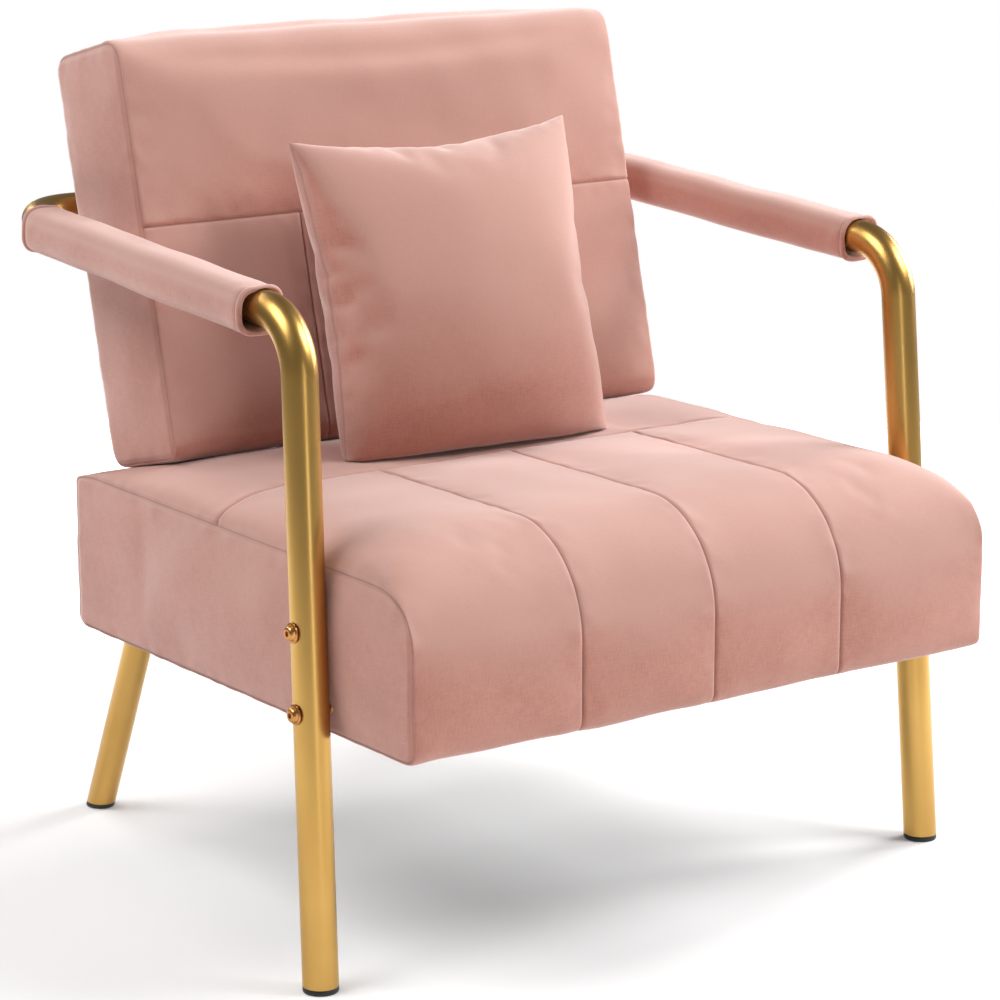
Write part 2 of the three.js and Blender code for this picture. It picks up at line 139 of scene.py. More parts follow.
class Shader:
    def __init__(self, name, **surface):
        self.material = bpy.data.materials.new(name)
        self.material.use_nodes = True
        self.tree = self.material.node_tree
        self.principled = self.tree.nodes["Principled BSDF"]
        for socket, value in surface.items():
            self.principled.inputs[socket.replace("_", " ")].default_value = value
        self.material.diffuse_color = self.principled.inputs["Base Color"].default_value

    def node(self, kind, settings=None, inputs=None, output=0):
        made = self.tree.nodes.new(kind)
        for key, value in (settings or {}).items():
            setattr(made, key, value)
        for key, value in (inputs or {}).items():
            if isinstance(value, Sock):
                self.tree.links.new(value.socket, made.inputs[key])
            else:
                made.inputs[key].default_value = value
        return Sock(self, made.outputs[output])

    def mix(self, factor, a, b):
        settings = {"data_type": "RGBA", "clamp_factor": True}
        return self.node("ShaderNodeMix", settings, {0: factor, 6: a, 7: b}, output=2)

    def clamp(self, value, low, high, to_low=0.0, to_high=1.0):
        inputs = {"Value": value, "From Min": low, "From Max": high, "To Min": to_low, "To Max": to_high}
        return self.node("ShaderNodeMapRange", {"interpolation_type": "SMOOTHSTEP"}, inputs)

    def noise(self, vector, scale, detail, rough):
        inputs = {"Vector": vector, "Scale": scale, "Detail": detail, "Roughness": rough}
        return self.node("ShaderNodeTexNoise", {"noise_dimensions": "3D"}, inputs)

    def set(self, **links):
        for key, value in links.items():
            self.tree.links.new(value.socket, self.principled.inputs[key.replace("_", " ")])
        return self.material

    def bump(self, height, strength, distance):
        inputs = {"Height": height, "Strength": strength, "Distance": distance}
        return self.node("ShaderNodeBump", None, inputs)


print("shader helpers ready")

# %% [markdown]
# Velvet is a short dense pile on a fine woven ground. Seen face on it is deep and saturated; seen at a
# slant the tips of the pile catch the light and it turns pale. The Principled shader's sheen does the
# pale edge, and the pile's lie, its grain and the ground's weave come from noise. A face that leans
# back is also painted paler, a painted sheen for the light from above: most on a slope, less on a level
# top and none on an upright face. The cloth pieces carry a `seam` attribute, in millimetres from the
# nearest seam, and beside each seam the colour is painted darker, a painted shade in the crease.

# %% Velvet
VELVET = (0.43, 0.180, 0.134, 1)
VELVET_DEEP = (0.37, 0.142, 0.102, 1)
VELVET_PALE = (0.50, 0.222, 0.170, 1)
# painted sheen colour: faces that lean back are mixed towards it, in place of light from above
VELVET_PAINTED_SHEEN = (0.505, 0.278, 0.228, 1)
# painted shade colour for the crease beside each seam
VELVET_PAINTED_CREASE_SHADE = (0.17, 0.05, 0.038, 1)
THREAD_ACROSS, THREAD_ALONG = 900, 90


def make_velvet(name="rose_velvet"):
    s = Shader(name, Base_Color=VELVET, Roughness=0.85, Sheen_Weight=0.8, Sheen_Roughness=0.52,
               Sheen_Tint=(1.0, 0.90, 0.875, 1), Specular_IOR_Level=0.15)
    place = s.node("ShaderNodeTexCoord", output=3)
    cloth = s.node("ShaderNodeUVMap", {"uv_map": "cloth"})
    lie = s.noise(place, 9, 3, 0.55)
    mottle = s.noise(place, 85, 4, 0.6)
    grain = s.noise(place, 1100, 2, 0.6)

    def threads(u, v):
        return s.noise(s.node("ShaderNodeMapping", None, {"Vector": cloth, "Scale": (u, v, 1)}), 1.0, 2, 0.6)

    weave = (threads(THREAD_ACROSS, THREAD_ALONG) + threads(THREAD_ALONG, THREAD_ACROSS)) * 0.5
    tone = s.clamp(lie * 0.3 + mottle * 0.15 + weave * 0.45 + grain * 0.2, 0.36, 0.7)
    colour = s.mix(tone, VELVET_DEEP, VELVET_PALE)
    distance = s.node("ShaderNodeAttribute", {"attribute_name": "seam"}, output=2)
    normal = s.node("ShaderNodeNewGeometry", output=1)
    facing_up = s.node("ShaderNodeSeparateXYZ", None, {0: normal}, output=2)
    rise = s.node("ShaderNodeMath", {"operation": "MAXIMUM"}, {0: facing_up, 1: 0.0})
    # painted sheen: the surface's upward lean, not the lamps, mixes the velvet towards a paler colour
    painted_sheen = s.node("ShaderNodeMath", {"operation": "MINIMUM"}, {0: rise * (1.14 - rise) * 4, 1: 0.9})
    colour = s.mix(painted_sheen * (0.75 + weave * 0.3), colour, VELVET_PAINTED_SHEEN)
    # painted shade: within about a millimetre of a seam the velvet is mixed towards a dark crease colour
    painted_crease_shade = 1 - s.clamp(distance, 0.1, 1.4)
    colour = s.mix(painted_crease_shade * 0.45, colour, VELVET_PAINTED_CREASE_SHADE)
    pile = s.bump(grain * 0.4 + weave * 0.8, 0.3, 0.0006)
    return s.set(Base_Color=colour, Roughness=s.clamp(mottle, 0.2, 0.8, 0.78, 0.92), Normal=pile)


velvet = make_velvet()
print("velvet ready:", len(velvet.node_tree.nodes), "nodes")

# %% [markdown]
# The tubes are steel with a satin gold plating. A satin plating is smooth along the light and has a very
# faint orange peel, so it gets a middling roughness that wanders a little, and a bump that is almost
# nothing. The bolts are the same finish in a redder gold.

# %% Gold, bolts, plastic, wood, steel and lining
def make_gold(name, colour, deep, rough):
    s = Shader(name, Base_Color=colour, Metallic=1.0, Roughness=rough)
    place = s.node("ShaderNodeTexCoord", output=3)
    cloud, peel = s.noise(place, 10, 2, 0.5), s.noise(place, 420, 1, 0.4)
    return s.set(
        Base_Color=s.mix(s.clamp(cloud, 0.3, 0.7), colour, deep),
        Roughness=s.clamp(cloud * 0.7 + peel * 0.3, 0.3, 0.7, rough - 0.02, rough + 0.03),
        Normal=s.bump(peel, 0.05, 0.0001),
    )


def make_plastic(name="moulded_black"):
    s = Shader(name, Base_Color=(0.012, 0.012, 0.013, 1), Roughness=0.45)
    place = s.node("ShaderNodeTexCoord", output=3)
    grain, scuff = s.noise(place, 1600, 2, 0.5), s.noise(place, 60, 3, 0.6)
    return s.set(
        Base_Color=s.mix(s.clamp(scuff, 0.45, 0.8), (0.010, 0.010, 0.011, 1), (0.03, 0.03, 0.032, 1)),
        Roughness=s.clamp(scuff, 0.3, 0.8, 0.4, 0.6),
        Normal=s.bump(grain, 0.25, 0.0003),
    )


def make_wood(name="planed_beech"):
    s = Shader(name, Base_Color=(0.6, 0.42, 0.24, 1), Roughness=0.6)
    place = s.node("ShaderNodeTexCoord", output=3)
    stretched = s.node("ShaderNodeMapping", None, {"Vector": place, "Scale": (18, 90, 90)})
    rings = s.noise(stretched, 1.0, 5, 0.65)
    return s.set(
        Base_Color=s.mix(s.clamp(rings, 0.35, 0.65), (0.42, 0.26, 0.13, 1), (0.66, 0.48, 0.29, 1)),
        Roughness=s.clamp(rings, 0.3, 0.7, 0.5, 0.7),
        Normal=s.bump(rings, 0.3, 0.0006),
    )


def make_dark_cloth(name="black_lining"):
    s = Shader(name, Base_Color=(0.016, 0.016, 0.018, 1), Roughness=0.9, Sheen_Weight=0.15)
    place = s.node("ShaderNodeTexCoord", output=3)
    fibre, cloud = s.noise(place, 900, 3, 0.7), s.noise(place, 25, 3, 0.5)
    worn = s.clamp(fibre * 0.6 + cloud * 0.4, 0.3, 0.7)
    return s.set(
        Base_Color=s.mix(worn, (0.010, 0.010, 0.012, 1), (0.035, 0.035, 0.038, 1)),
        Roughness=s.clamp(cloud, 0.3, 0.7, 0.82, 0.96),
        Normal=s.bump(fibre, 0.4, 0.0005),
    )


def make_spring_steel(name="oiled_steel"):
    s = Shader(name, Base_Color=(0.16, 0.16, 0.17, 1), Metallic=0.9, Roughness=0.4)
    place = s.node("ShaderNodeTexCoord", output=3)
    cloud, fine = s.noise(place, 40, 3, 0.6), s.noise(place, 900, 2, 0.5)
    return s.set(
        Base_Color=s.mix(s.clamp(cloud, 0.35, 0.7), (0.10, 0.10, 0.11, 1), (0.22, 0.21, 0.20, 1)),
        Roughness=s.clamp(cloud, 0.3, 0.7, 0.32, 0.52),
        Normal=s.bump(fine, 0.2, 0.0002),
    )


gold = make_gold("satin_gold", (0.60, 0.36, 0.107, 1), (0.56, 0.33, 0.092, 1), 0.32)
bolt_metal = make_gold("copper_gold", (0.58, 0.29, 0.10, 1), (0.46, 0.21, 0.065, 1), 0.32)
plastic, wood, lining, spring_steel = make_plastic(), make_wood(), make_dark_cloth(), make_spring_steel()
FINISH = {"velvet": velvet, "gold_tube": gold, "bolt_metal": bolt_metal, "black_plastic": plastic,
          "frame_wood": wood, "lining": lining, "spring_steel": spring_steel}
print("finishes:", sorted(FINISH))

# %% [markdown]
# Every piece ends the same way: its mesh is in place, its object at the origin, its finish assigned, it
# rides on a body, and the frame's solids that it stands for are hidden. One helper says all that.

# %% Finishing a piece
def mesh_object(name, points, faces, uvs=None, smooth=True):
    data = bpy.data.meshes.new(name)
    data.from_pydata([tuple(p) for p in points], [], [tuple(f) for f in faces])
    data.update()
    if smooth:
        data.shade_smooth()
    piece = bpy.data.objects.new(name, data)
    bpy.context.scene.collection.objects.link(piece)
    if uvs is not None:
        layer = data.uv_layers.new(name="cloth")
        corners = np.zeros(len(data.loops), np.int32)
        data.loops.foreach_get("vertex_index", corners)
        layer.data.foreach_set("uv", np.asarray(uvs, np.float32)[corners].ravel())
    return piece


def ring_quads(rings, sides, start=0, closed=False):
    """Quads between neighbouring rings of `sides` points; `closed` joins the last ring to the first."""
    quads = []
    for i in range(rings if closed else rings - 1):
        here, there = start + i * sides, start + (i + 1) % rings * sides
        for k in range(sides):
            m = (k + 1) % sides
            quads.append((here + k, here + m, there + m, there + k))
    return quads


def finish_piece(piece, slot, body="chair", replaces=()):
    piece.data.materials.clear()
    piece.data.materials.append(FINISH[slot])
    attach(piece, body)
    if replaces:
        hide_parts(*replaces)
    print(f"{piece.name}: {len(piece.data.polygons)} faces, {slot}")
    return piece


def applied(piece):
    """The piece's mesh with its modifiers worked in, and none left."""
    graph = bpy.context.evaluated_depsgraph_get()
    data = bpy.data.meshes.new_from_object(piece.evaluated_get(graph), depsgraph=graph)
    piece.modifiers.clear()
    piece.data = data
    return piece


def vectors_of(piece, what):
    flat = np.zeros(len(piece.data.vertices) * 3)
    piece.data.vertices.foreach_get(what, flat)
    return flat.reshape(-1, 3)


def coordinates(piece):
    return vectors_of(piece, "co")


def move_points(piece, points):
    piece.data.vertices.foreach_set("co", np.asarray(points, np.float32).ravel())
    piece.data.update()


def attribute(piece, name, values):
    layer = piece.data.attributes.get(name) or piece.data.attributes.new(name, "FLOAT", "POINT")
    layer.data.foreach_set("value", np.asarray(values, np.float32))


def subdivided(piece):
    subdivision = piece.modifiers.new("subdivision", "SUBSURF")
    subdivision.levels = subdivision.render_levels = 1
    subdivision.boundary_smooth = "ALL"
    return applied(piece)


print("piece helpers ready")

# %% [markdown]
# A boxed cushion is a wrapped panel with a side panel sewn to each end. Its outline in the upright
# plane is a loop of straights and round corners, cut halfway round each corner into a bottom, a rear, a
# top and a front. Sweeping that loop across the width makes the wrapped panel, and a smooth patch
# between the four stretches fills each side. It is all one grid of quads, so seams lie exactly on grid
# lines, and the cloth simulation and the subdivision that follow stay clean.

# %% A boxed cushion's outline
SEAM_SHOULDER = 5.0
CORNER_STEPS, STRAIGHT_STEPS = 24, 42


def rounded_stretches(corners, radii):
    """Bottom, rear, top and front of a rounded outline, low-to-high; radii are (into, out of) a corner."""
    arcs = []
    t = np.linspace(0, pi / 2, 2 * CORNER_STEPS + 1)[:, None]
    for i in range(4):
        here, before, after = (np.array(corners[k % 4], float) for k in (i, i - 1, i + 1))
        into = (here - before) / np.linalg.norm(here - before)
        out = (after - here) / np.linalg.norm(after - here)
        arcs.append(here - into * radii[i][0] * (1 - np.sin(t)) + out * radii[i][1] * (1 - np.cos(t)))
    around = []
    for i in range(4):
        start, end = arcs[i][CORNER_STEPS:], arcs[(i + 1) % 4][: CORNER_STEPS + 1]
        around.append(np.vstack([start, np.linspace(start[-1], end[0], STRAIGHT_STEPS)[1:-1], end]))
    return around[0], around[1], around[2][::-1], around[3][::-1]


def lengths_along(line):
    return np.concatenate([[0], np.cumsum(np.linalg.norm(np.diff(line, axis=0), axis=1))])


def resampled(line, count, seam=None):
    """`count` + 1 points spread by length; `seam` = (axis, value) gets a point and two close neighbours."""
    lengths = lengths_along(line)
    share = np.linspace(0, lengths[-1], count + 1)
    index = None
    if seam:
        place = np.interp(seam[1], line[:, seam[0]], lengths)
        index = int(np.argmin(np.abs(share - place)))
        share = np.concatenate([
            np.linspace(0, place - SEAM_SHOULDER, index - 1),
            [place - SEAM_SHOULDER / 3, place, place + SEAM_SHOULDER / 3],
            np.linspace(place + SEAM_SHOULDER, lengths[-1], count - index - 1),
        ])
    points = np.stack([np.interp(share, lengths, line[:, k]) for k in (0, 1)], 1)
    return points, index


print("outline helpers ready")

# %% [markdown]
# Each cushion is described twice: its outline at the side seam, and its outline at the crown. Going in
# from the side seam, the first turns into the second along a quarter circle, over a different distance
# on each of the four stretches.

# %% A boxed cushion's grid
class Boxed:
    def __init__(self, half, edge, crown, counts, rolls, seams):
        """edge and crown are (corners, radii); seams names the stretch that holds a cross seam."""
        self.half, self.rolls, self.counts = half, rolls, counts
        self.edge, self.crown, self.cross = [], [], {}
        for k, name in enumerate(("bottom", "rear", "top", "front")):
            seam = seams.get(name)
            line, index = resampled(rounded_stretches(*edge)[k], counts[k], seam)
            self.edge.append(line)
            self.crown.append(resampled(rounded_stretches(*crown)[k], counts[k], seam)[0])
            self.cross[name] = index

    def section(self, x):
        out = []
        for e, c, roll in zip(self.edge, self.crown, self.rolls):
            into = max(0.0, (abs(x) - (self.half - roll)) / roll)
            out.append(e + np.sqrt(max(0.0, 1 - into * into)) * (c - e))
        for i, j, end_i, end_j in ((0, 1, -1, 0), (1, 2, -1, -1), (2, 3, 0, -1), (3, 0, 0, 0)):
            meet = (out[i][end_i] + out[j][end_j]) / 2
            for line, end in ((out[i], end_i), (out[j], end_j)):
                fade = np.exp(-np.arange(len(line)) / 3.0)[:, None]
                line += (meet - line[end]) * (fade if end == 0 else fade[::-1])
        return out

    def grid(self, xs):
        """Points, quads and cloth coordinates: the wrapped rings, then the insides of the two sides."""
        na, nb = self.counts[0], self.counts[1]
        ring = 2 * (na + nb)
        points, cloth, quads = [], [], []
        for x in xs:
            bottom, rear, top, front = self.section(x)
            loop = np.vstack([bottom[:-1], rear[:-1], top[::-1][:-1], front[::-1][:-1]])
            points.append(np.column_stack([np.full(ring, x), loop]))
            cloth.append(np.column_stack([np.full(ring, x), lengths_along(loop)]))
        for i in range(len(xs) - 1):
            for j in range(ring):
                k = (j + 1) % ring
                quads.append((i * ring + j, (i + 1) * ring + j, (i + 1) * ring + k, i * ring + k))
        points, cloth = np.vstack(points), np.vstack(cloth)

        def rim(a, b):
            if b == 0:
                return a
            if a == na:
                return na + b
            return na + nb + (na - a) if b == nb else 2 * na + nb + (nb - b)

        for end, x in ((0, xs[0]), (len(xs) - 1, xs[-1])):
            inner = patch(*self.section(x))[1:-1, 1:-1].reshape(-1, 2)
            base = len(points)
            points = np.vstack([points, np.column_stack([np.full(len(inner), x), inner])])
            cloth = np.vstack([cloth, inner])

            def at(a, b):
                inside = 0 < a < na and 0 < b < nb
                return base + (a - 1) * (nb - 1) + b - 1 if inside else end * ring + rim(a, b)

            for a in range(na):
                for b in range(nb):
                    quad = (at(a, b), at(a + 1, b), at(a + 1, b + 1), at(a, b + 1))
                    quads.append(quad if end else quad[::-1])
        self.ring = ring
        return points, quads, cloth

    def ring_of(self, name, index):
        """A stretch's own index as an index round the ring."""
        na, nb = self.counts[0], self.counts[1]
        return {"bottom": index, "rear": na + index, "top": na + nb + na - index,
                "front": 2 * na + nb + nb - index}[name] % self.ring


def patch(bottom, rear, top, front):
    """A smooth grid between four stretches; bottom and top run front to rear, front and rear run upward."""
    a = np.linspace(0, 1, len(bottom))[:, None, None]
    b = np.linspace(0, 1, len(rear))[None, :, None]
    ruled = (1 - b) * bottom[:, None] + b * top[:, None] + (1 - a) * front[None] + a * rear[None]
    corner = ((1 - a) * (1 - b) * bottom[0] + a * (1 - b) * bottom[-1]
              + (1 - a) * b * top[0] + a * b * top[-1])
    return ruled - corner


def stations(marks, step):
    """Places across the width: the ends and the seams with close neighbours, and even steps between."""
    fixed = {marks[0], marks[-1]}
    for mark in marks:
        for offset in (-SEAM_SHOULDER, -SEAM_SHOULDER / 3, 0, SEAM_SHOULDER / 3, SEAM_SHOULDER):
            if marks[0] <= mark + offset <= marks[-1]:
                fixed.add(mark + offset)
    for offset in (10, 17, 26):
        fixed |= {marks[0] + offset, marks[-1] - offset}
    fixed = sorted(fixed)
    out = [fixed[0]]
    for a, b in zip(fixed, fixed[1:]):
        out += list(np.linspace(a, b, max(1, round((b - a) / step)) + 1)[1:])
    return np.array(out)


print("boxed cushion grid ready")

# %% [markdown]
# Cushions are never perfect: a slow wander of a millimetre or so over the faces, and small puckers that
# run out from each seam and fade, keep a cover from looking machined. Every point also learns how far it
# is from the nearest seam, in millimetres, for the stitched groove and for the velvet's painted crease
# shade.

# %% Seams, wander and puckers
def seam_distance(points, seam_ids):
    tree = KDTree(len(seam_ids))
    for i in seam_ids:
        tree.insert(points[i], int(i))
    tree.balance()
    return np.array([tree.find(p)[2] for p in points])


def field(points, size, seed):
    shift = Vector((seed, 2 * seed, -seed))
    return np.array([noise.noise(Vector(p) / size + shift) for p in points])


def outward(piece):
    mesh = bmesh.new()
    mesh.from_mesh(piece.data)
    bmesh.ops.recalc_face_normals(mesh, faces=mesh.faces[:])
    mesh.to_mesh(piece.data)
    mesh.free()
    piece.data.update()


def relief(piece, groove, width, pucker, reach, slow, seed):
    """Sinks the seams, puckers the cloth beside them and lets the faces wander, all in millimetres."""
    points, normals = coordinates(piece) / MM, vectors_of(piece, "normal")
    distance = np.zeros(len(points))
    piece.data.attributes["seam"].data.foreach_get("value", distance)
    lift = -groove * np.exp(-(distance / width) ** 2)
    lift += pucker * np.exp(-distance / reach) * np.clip(distance / 3, 0, 1) * field(points, 15, seed)
    lift += slow * np.clip(distance / 20, 0, 1) * field(points, 62, seed + 5)
    move_points(piece, (points + normals * lift[:, None]) * MM)
    return piece


print("relief helpers ready")

# %% [markdown]
# Sewing holds the seams and the filling pushes the cloth out between them: that is what Blender's cloth
# does with a pinned group and a pressure. The simulation runs without gravity for a moment, no point may
# travel further than a cap, and the result is kept as a plain mesh.

# %% Inflating a cover
CLOTH_STIFFNESS, CLOTH_DAMPING, CLOTH_MASS, CLOTH_QUALITY, AIR_DAMPING = 15.0, 5, 0.3, 7, 2


def inflate(piece, pins, pressure, cap, frames=18, bending=0.5, flat=None, outward_only=False):
    """Blows a cover out; `flat` is the shape that it was cut to, and `outward_only` lets nothing sink."""
    rest, out = coordinates(piece), vectors_of(piece, "normal")
    if flat is not None:
        piece.shape_key_add(name="sewn")
        key = piece.shape_key_add(name="flat")
        key.data.foreach_set("co", np.asarray(flat, np.float32).ravel())
        key.value = 0.0
    cloth = piece.modifiers.new("cloth", "CLOTH")
    settings = cloth.settings
    if pins.max() > 0:
        group = piece.vertex_groups.new(name="sewn")
        group.add([int(i) for i in np.flatnonzero(pins > 0.5)], 1.0, "REPLACE")
        settings.vertex_group_mass = "sewn"
    if flat is not None:
        settings.rest_shape_key = key
    settings.quality, settings.mass, settings.air_damping = CLOTH_QUALITY, CLOTH_MASS, AIR_DAMPING
    settings.tension_stiffness = settings.compression_stiffness = CLOTH_STIFFNESS
    settings.shear_stiffness = CLOTH_STIFFNESS / 2
    settings.bending_stiffness = bending
    settings.tension_damping = settings.compression_damping = settings.shear_damping = CLOTH_DAMPING
    settings.use_pressure = True
    settings.uniform_pressure_force = pressure
    settings.effector_weights.gravity = 0
    cloth.collision_settings.use_collision = False
    cloth.collision_settings.use_self_collision = False
    cloth.point_cache.frame_start, cloth.point_cache.frame_end = 1, frames
    scene = bpy.context.scene
    scene.frame_start, scene.frame_end = 1, frames
    for step in range(1, frames + 1):
        scene.frame_set(step)
    applied(piece)
    scene.frame_set(1)
    moved = coordinates(piece) - rest
    if outward_only:
        moved -= out * np.minimum((moved * out).sum(1), 0)[:, None]
    far = np.linalg.norm(moved, axis=1, keepdims=True)
    move_points(piece, rest + moved * np.minimum(1, cap * MM / np.maximum(far, 1e-9)))
    piece.vertex_groups.clear()
    print(f"{piece.name}: inflated by up to {far.max() / MM:.1f} mm, mean {far.mean() / MM:.1f}, cap {cap}")
    return piece


print("simulation", "on")

# %% [markdown]
# The seat is one thick block. Its top runs over a full round nose and down the front as one panel, with
# three channel seams from a cross seam to the front's lower edge, and a plain strip behind. The side
# panels' upper seam sits well below the crown, so the top rolls down to it over a hand's width. Under
# the seat the cover is stapled to the frame, so its underside is a rim round a shallow recess.

# %% Seat cover
SEAT_PRESSURE, SEAT_CAP = 12, 11
SEWN_REACH = 2.2
RECESS_HALF, RECESS_FRONT, RECESS_REAR, RECESS_HEIGHT = 307, -324, 223, 223.7


def seat_block():
    low, rear = SEAT_BOTTOM, SEAT_REAR - 4
    edge = [(SEAT_FRONT, low + 2), (rear, low + 2), (rear, SEAM_HEIGHT), (SEAT_FRONT, SEAM_HEIGHT - 4)]
    nose = SEAT_FRONT - 2
    crown = [(nose, low), (SEAT_REAR, low), (SEAT_REAR, CROWN_HEIGHT), (nose, CROWN_HEIGHT + 2)]
    return Boxed(
        half=SEAT_HALF,
        edge=(edge, [(9, 9), (11, 11), (16, 16), (56, 42)]),
        crown=(crown, [(11, 11), (12, 12), (20, 20), (94, 96)]),
        counts=(64, 22, 64, 22),
        rolls=(14, 20, 82, 34),
        seams={"top": (0, CROSS_SEAM_Y)},
    )


def build_seat():
    block = seat_block()
    xs = stations((-SEAT_HALF, *CHANNEL_SEAMS, SEAT_HALF), 10)
    points, quads, cloth = block.grid(xs)
    ring = block.ring
    last, cross = len(xs) - 1, block.ring_of("top", block.cross["top"])
    on_ring = np.arange(len(points)) < ring * len(xs)
    station, around = np.arange(len(points)) // ring, np.arange(len(points)) % ring
    behind = np.clip(points[:, 1] - BACK_FOOT.y, 0, None)
    ceiling = CROWN_HEIGHT + 2 - behind * tan(RECLINE)
    points[:, 2] = np.minimum(points[:, 2], ceiling)
    seam = on_ring & ((station == 0) | (station == last) | (around == cross))
    front = on_ring & ((around >= cross) | (around == 0))
    for x in CHANNEL_SEAMS:
        seam |= front & (station == int(np.argmin(np.abs(xs - x))))
    distance = seam_distance(points, np.flatnonzero(seam))
    under = points[:, 2] < SEAT_BOTTOM + 5
    hidden = (points[:, 1] > BACK_FOOT.y) & (points[:, 2] > SEAT_BOTTOM + 20)
    piece = mesh_object("seat_cover", points * MM, quads, cloth * MM)
    attribute(piece, "seam", distance)
    outward(piece)
    pins = ((distance < SEWN_REACH) | under | hidden | (points[:, 1] > SEAT_REAR - 9)).astype(float)
    inflate(piece, pins, SEAT_PRESSURE, SEAT_CAP)
    recess = under & (np.abs(points[:, 0]) < RECESS_HALF) & (points[:, 2] < SEAT_BOTTOM + 3)
    recess &= (points[:, 1] > RECESS_FRONT) & (points[:, 1] < RECESS_REAR)
    swollen = coordinates(piece)
    swollen[recess, 2] = RECESS_HEIGHT * MM
    move_points(piece, swollen)
    subdivided(piece)
    relief(piece, groove=1.9, width=1.2, pucker=1.3, reach=11, slow=1.6, seed=3)
    finish_piece(piece, "velvet", replaces=["seat_upholstery"])
    return piece


seat_cover = build_seat()

# %% [markdown]
# The back is a block of the same make, leaning with the seat's slope. A cross seam divides its face into
# a plain upper band and a lower part of three panels, sewn with two upright seams.

# %% Back cover
BACK_PRESSURE, BACK_CAP = 9, 9
REAR_PLANE, REAR_GIVE, REAR_STARTS = 124.4, 1.8, 116
REAR_PANEL_HALF, REAR_PANEL_EDGE = 280, 6


def lean(points):
    """From the back's own frame (across, through its thickness, up its slope) to the chair's frame."""
    c, s = cos(RECLINE), sin(RECLINE)
    x, v, u = points[:, 0], points[:, 1], points[:, 2]
    return np.column_stack([x, BACK_FOOT.y + v * c + u * s, BACK_FOOT.z - v * s + u * c])


def unlean(x, y, z):
    """The same turned round: a place on the chair, in the back's own frame."""
    c, s = cos(RECLINE), sin(RECLINE)
    y, z = y - BACK_FOOT.y, z - BACK_FOOT.z
    return x, y * c - z * s, y * s + z * c


def pulled_tight(piece):
    """Holds the rear panel flat over the frame, clear of the rails inside and of the saddles outside."""
    x, v, u = unlean(*(coordinates(piece) / MM).T)
    held = np.clip((v - REAR_STARTS) / 4, 0, 1) * np.clip((REAR_PANEL_HALF - np.abs(x)) / 15, 0, 1)
    held *= np.clip((BACK_HEIGHT - REAR_PANEL_EDGE - u) / 10, 0, 1)
    held *= np.clip((u - REAR_PANEL_EDGE) / 10, 0, 1)
    v += held * (REAR_PLANE + REAR_GIVE * np.tanh((v - REAR_PLANE) / 4) - v)
    return move_points(piece, lean(np.column_stack([x, v, u])) * MM)


def build_back():
    rear, high = BACK_THICK - 1, BACK_HEIGHT
    edge = [(2, 3), (rear, 3), (rear, high - 1), (2, high - 1)]
    crown = [(-1, 0.6), (rear, 0.6), (rear, high + 2), (-1, high + 2)]
    block = Boxed(
        half=BACK_HALF,
        edge=(edge, [(12, 12), (16, 16), (16, 16), (20, 20)]),
        crown=(crown, [(16, 16), (20, 20), (22, 22), (26, 26)]),
        counts=(14, 46, 14, 46),
        rolls=(18, 24, 26, 24),
        seams={"front": (1, BACK_SEAM)},
    )
    xs = stations((-BACK_HALF, *BACK_PANELS, BACK_HALF), 9.5)
    points, quads, cloth = block.grid(xs)
    ring, last = block.ring, len(xs) - 1
    cross = block.ring_of("front", block.cross["front"])
    on_ring = np.arange(len(points)) < ring * len(xs)
    station, around = np.arange(len(points)) // ring, np.arange(len(points)) % ring
    seam = on_ring & ((station == 0) | (station == last) | (around == cross))
    lower = on_ring & ((around >= cross) | (around == 0))
    for x in BACK_PANELS:
        seam |= lower & (station == int(np.argmin(np.abs(xs - x))))
    distance = seam_distance(points, np.flatnonzero(seam))
    piece = mesh_object("back_cover", lean(points) * MM, quads, cloth * MM)
    attribute(piece, "seam", distance)
    outward(piece)
    pins = ((distance < SEWN_REACH) | (points[:, 2] < 8)).astype(float)
    inflate(piece, pins, BACK_PRESSURE, BACK_CAP, outward_only=True)
    subdivided(piece)
    relief(piece, groove=1.9, width=1.2, pucker=1.4, reach=12, slow=1.8, seed=11)
    pulled_tight(piece)
    finish_piece(piece, "velvet", replaces=["back_upholstery"])


build_back()

# %% [markdown]
# The pillow is two squares of velvet sewn edge to edge and overfilled. Nothing but physics gives its
# pointed ears, its drawn-in edges and the small gathers along them, so it starts as a smooth swollen
# square whose cloth remembers that it was cut flat and larger, and the simulation settles the two. Its
# lower part is then eased smooth and pressed onto the seat, whose surface it follows.

# %% Throw pillow
PILLOW_CELLS, PILLOW_CUT, PILLOW_HALF_THICK, PILLOW_SETTLE = 64, 331, 74, 15
PILLOW_PRESSURE, PILLOW_CAP, PILLOW_FRAMES = 5, 60, 44
EASE_HEIGHT, EASE_NEAR_SEAT, EASE_ELSEWHERE, EASE_ROUNDS = 110, 0.6, 0.1, 60
PILLOW_AT = Vector((-14, -3, 402.5))
PILLOW_SWING, PILLOW_LEAN, PILLOW_TILT = radians(-5), radians(-14.9), radians(-1.4)
PILLOW_TURN = (
    Matrix.Rotation(PILLOW_SWING, 3, "Z") @ Matrix.Rotation(PILLOW_LEAN, 3, "X")
    @ Matrix.Rotation(PILLOW_TILT, 3, "Y")
)


def pillow_layers():
    """Two grids joined at their rim: places (a, b) in -1..1 on the square, and -1 in front or 1 behind."""
    n = PILLOW_CELLS
    index, places, quads = {}, [], []
    for side in (-1, 1):
        for i in range(n + 1):
            for j in range(n + 1):
                rim = i in (0, n) or j in (0, n)
                if rim and side == 1:
                    index[side, i, j] = index[-1, i, j]
                    continue
                index[side, i, j] = len(places)
                places.append((2 * i / n - 1, 2 * j / n - 1, 0 if rim else side))
        for i in range(n):
            for j in range(n):
                quad = tuple(index[side, i + di, j + dj] for di, dj in ((0, 0), (1, 0), (1, 1), (0, 1)))
                quads.append(quad if side == -1 else quad[::-1])
    return np.array(places), quads


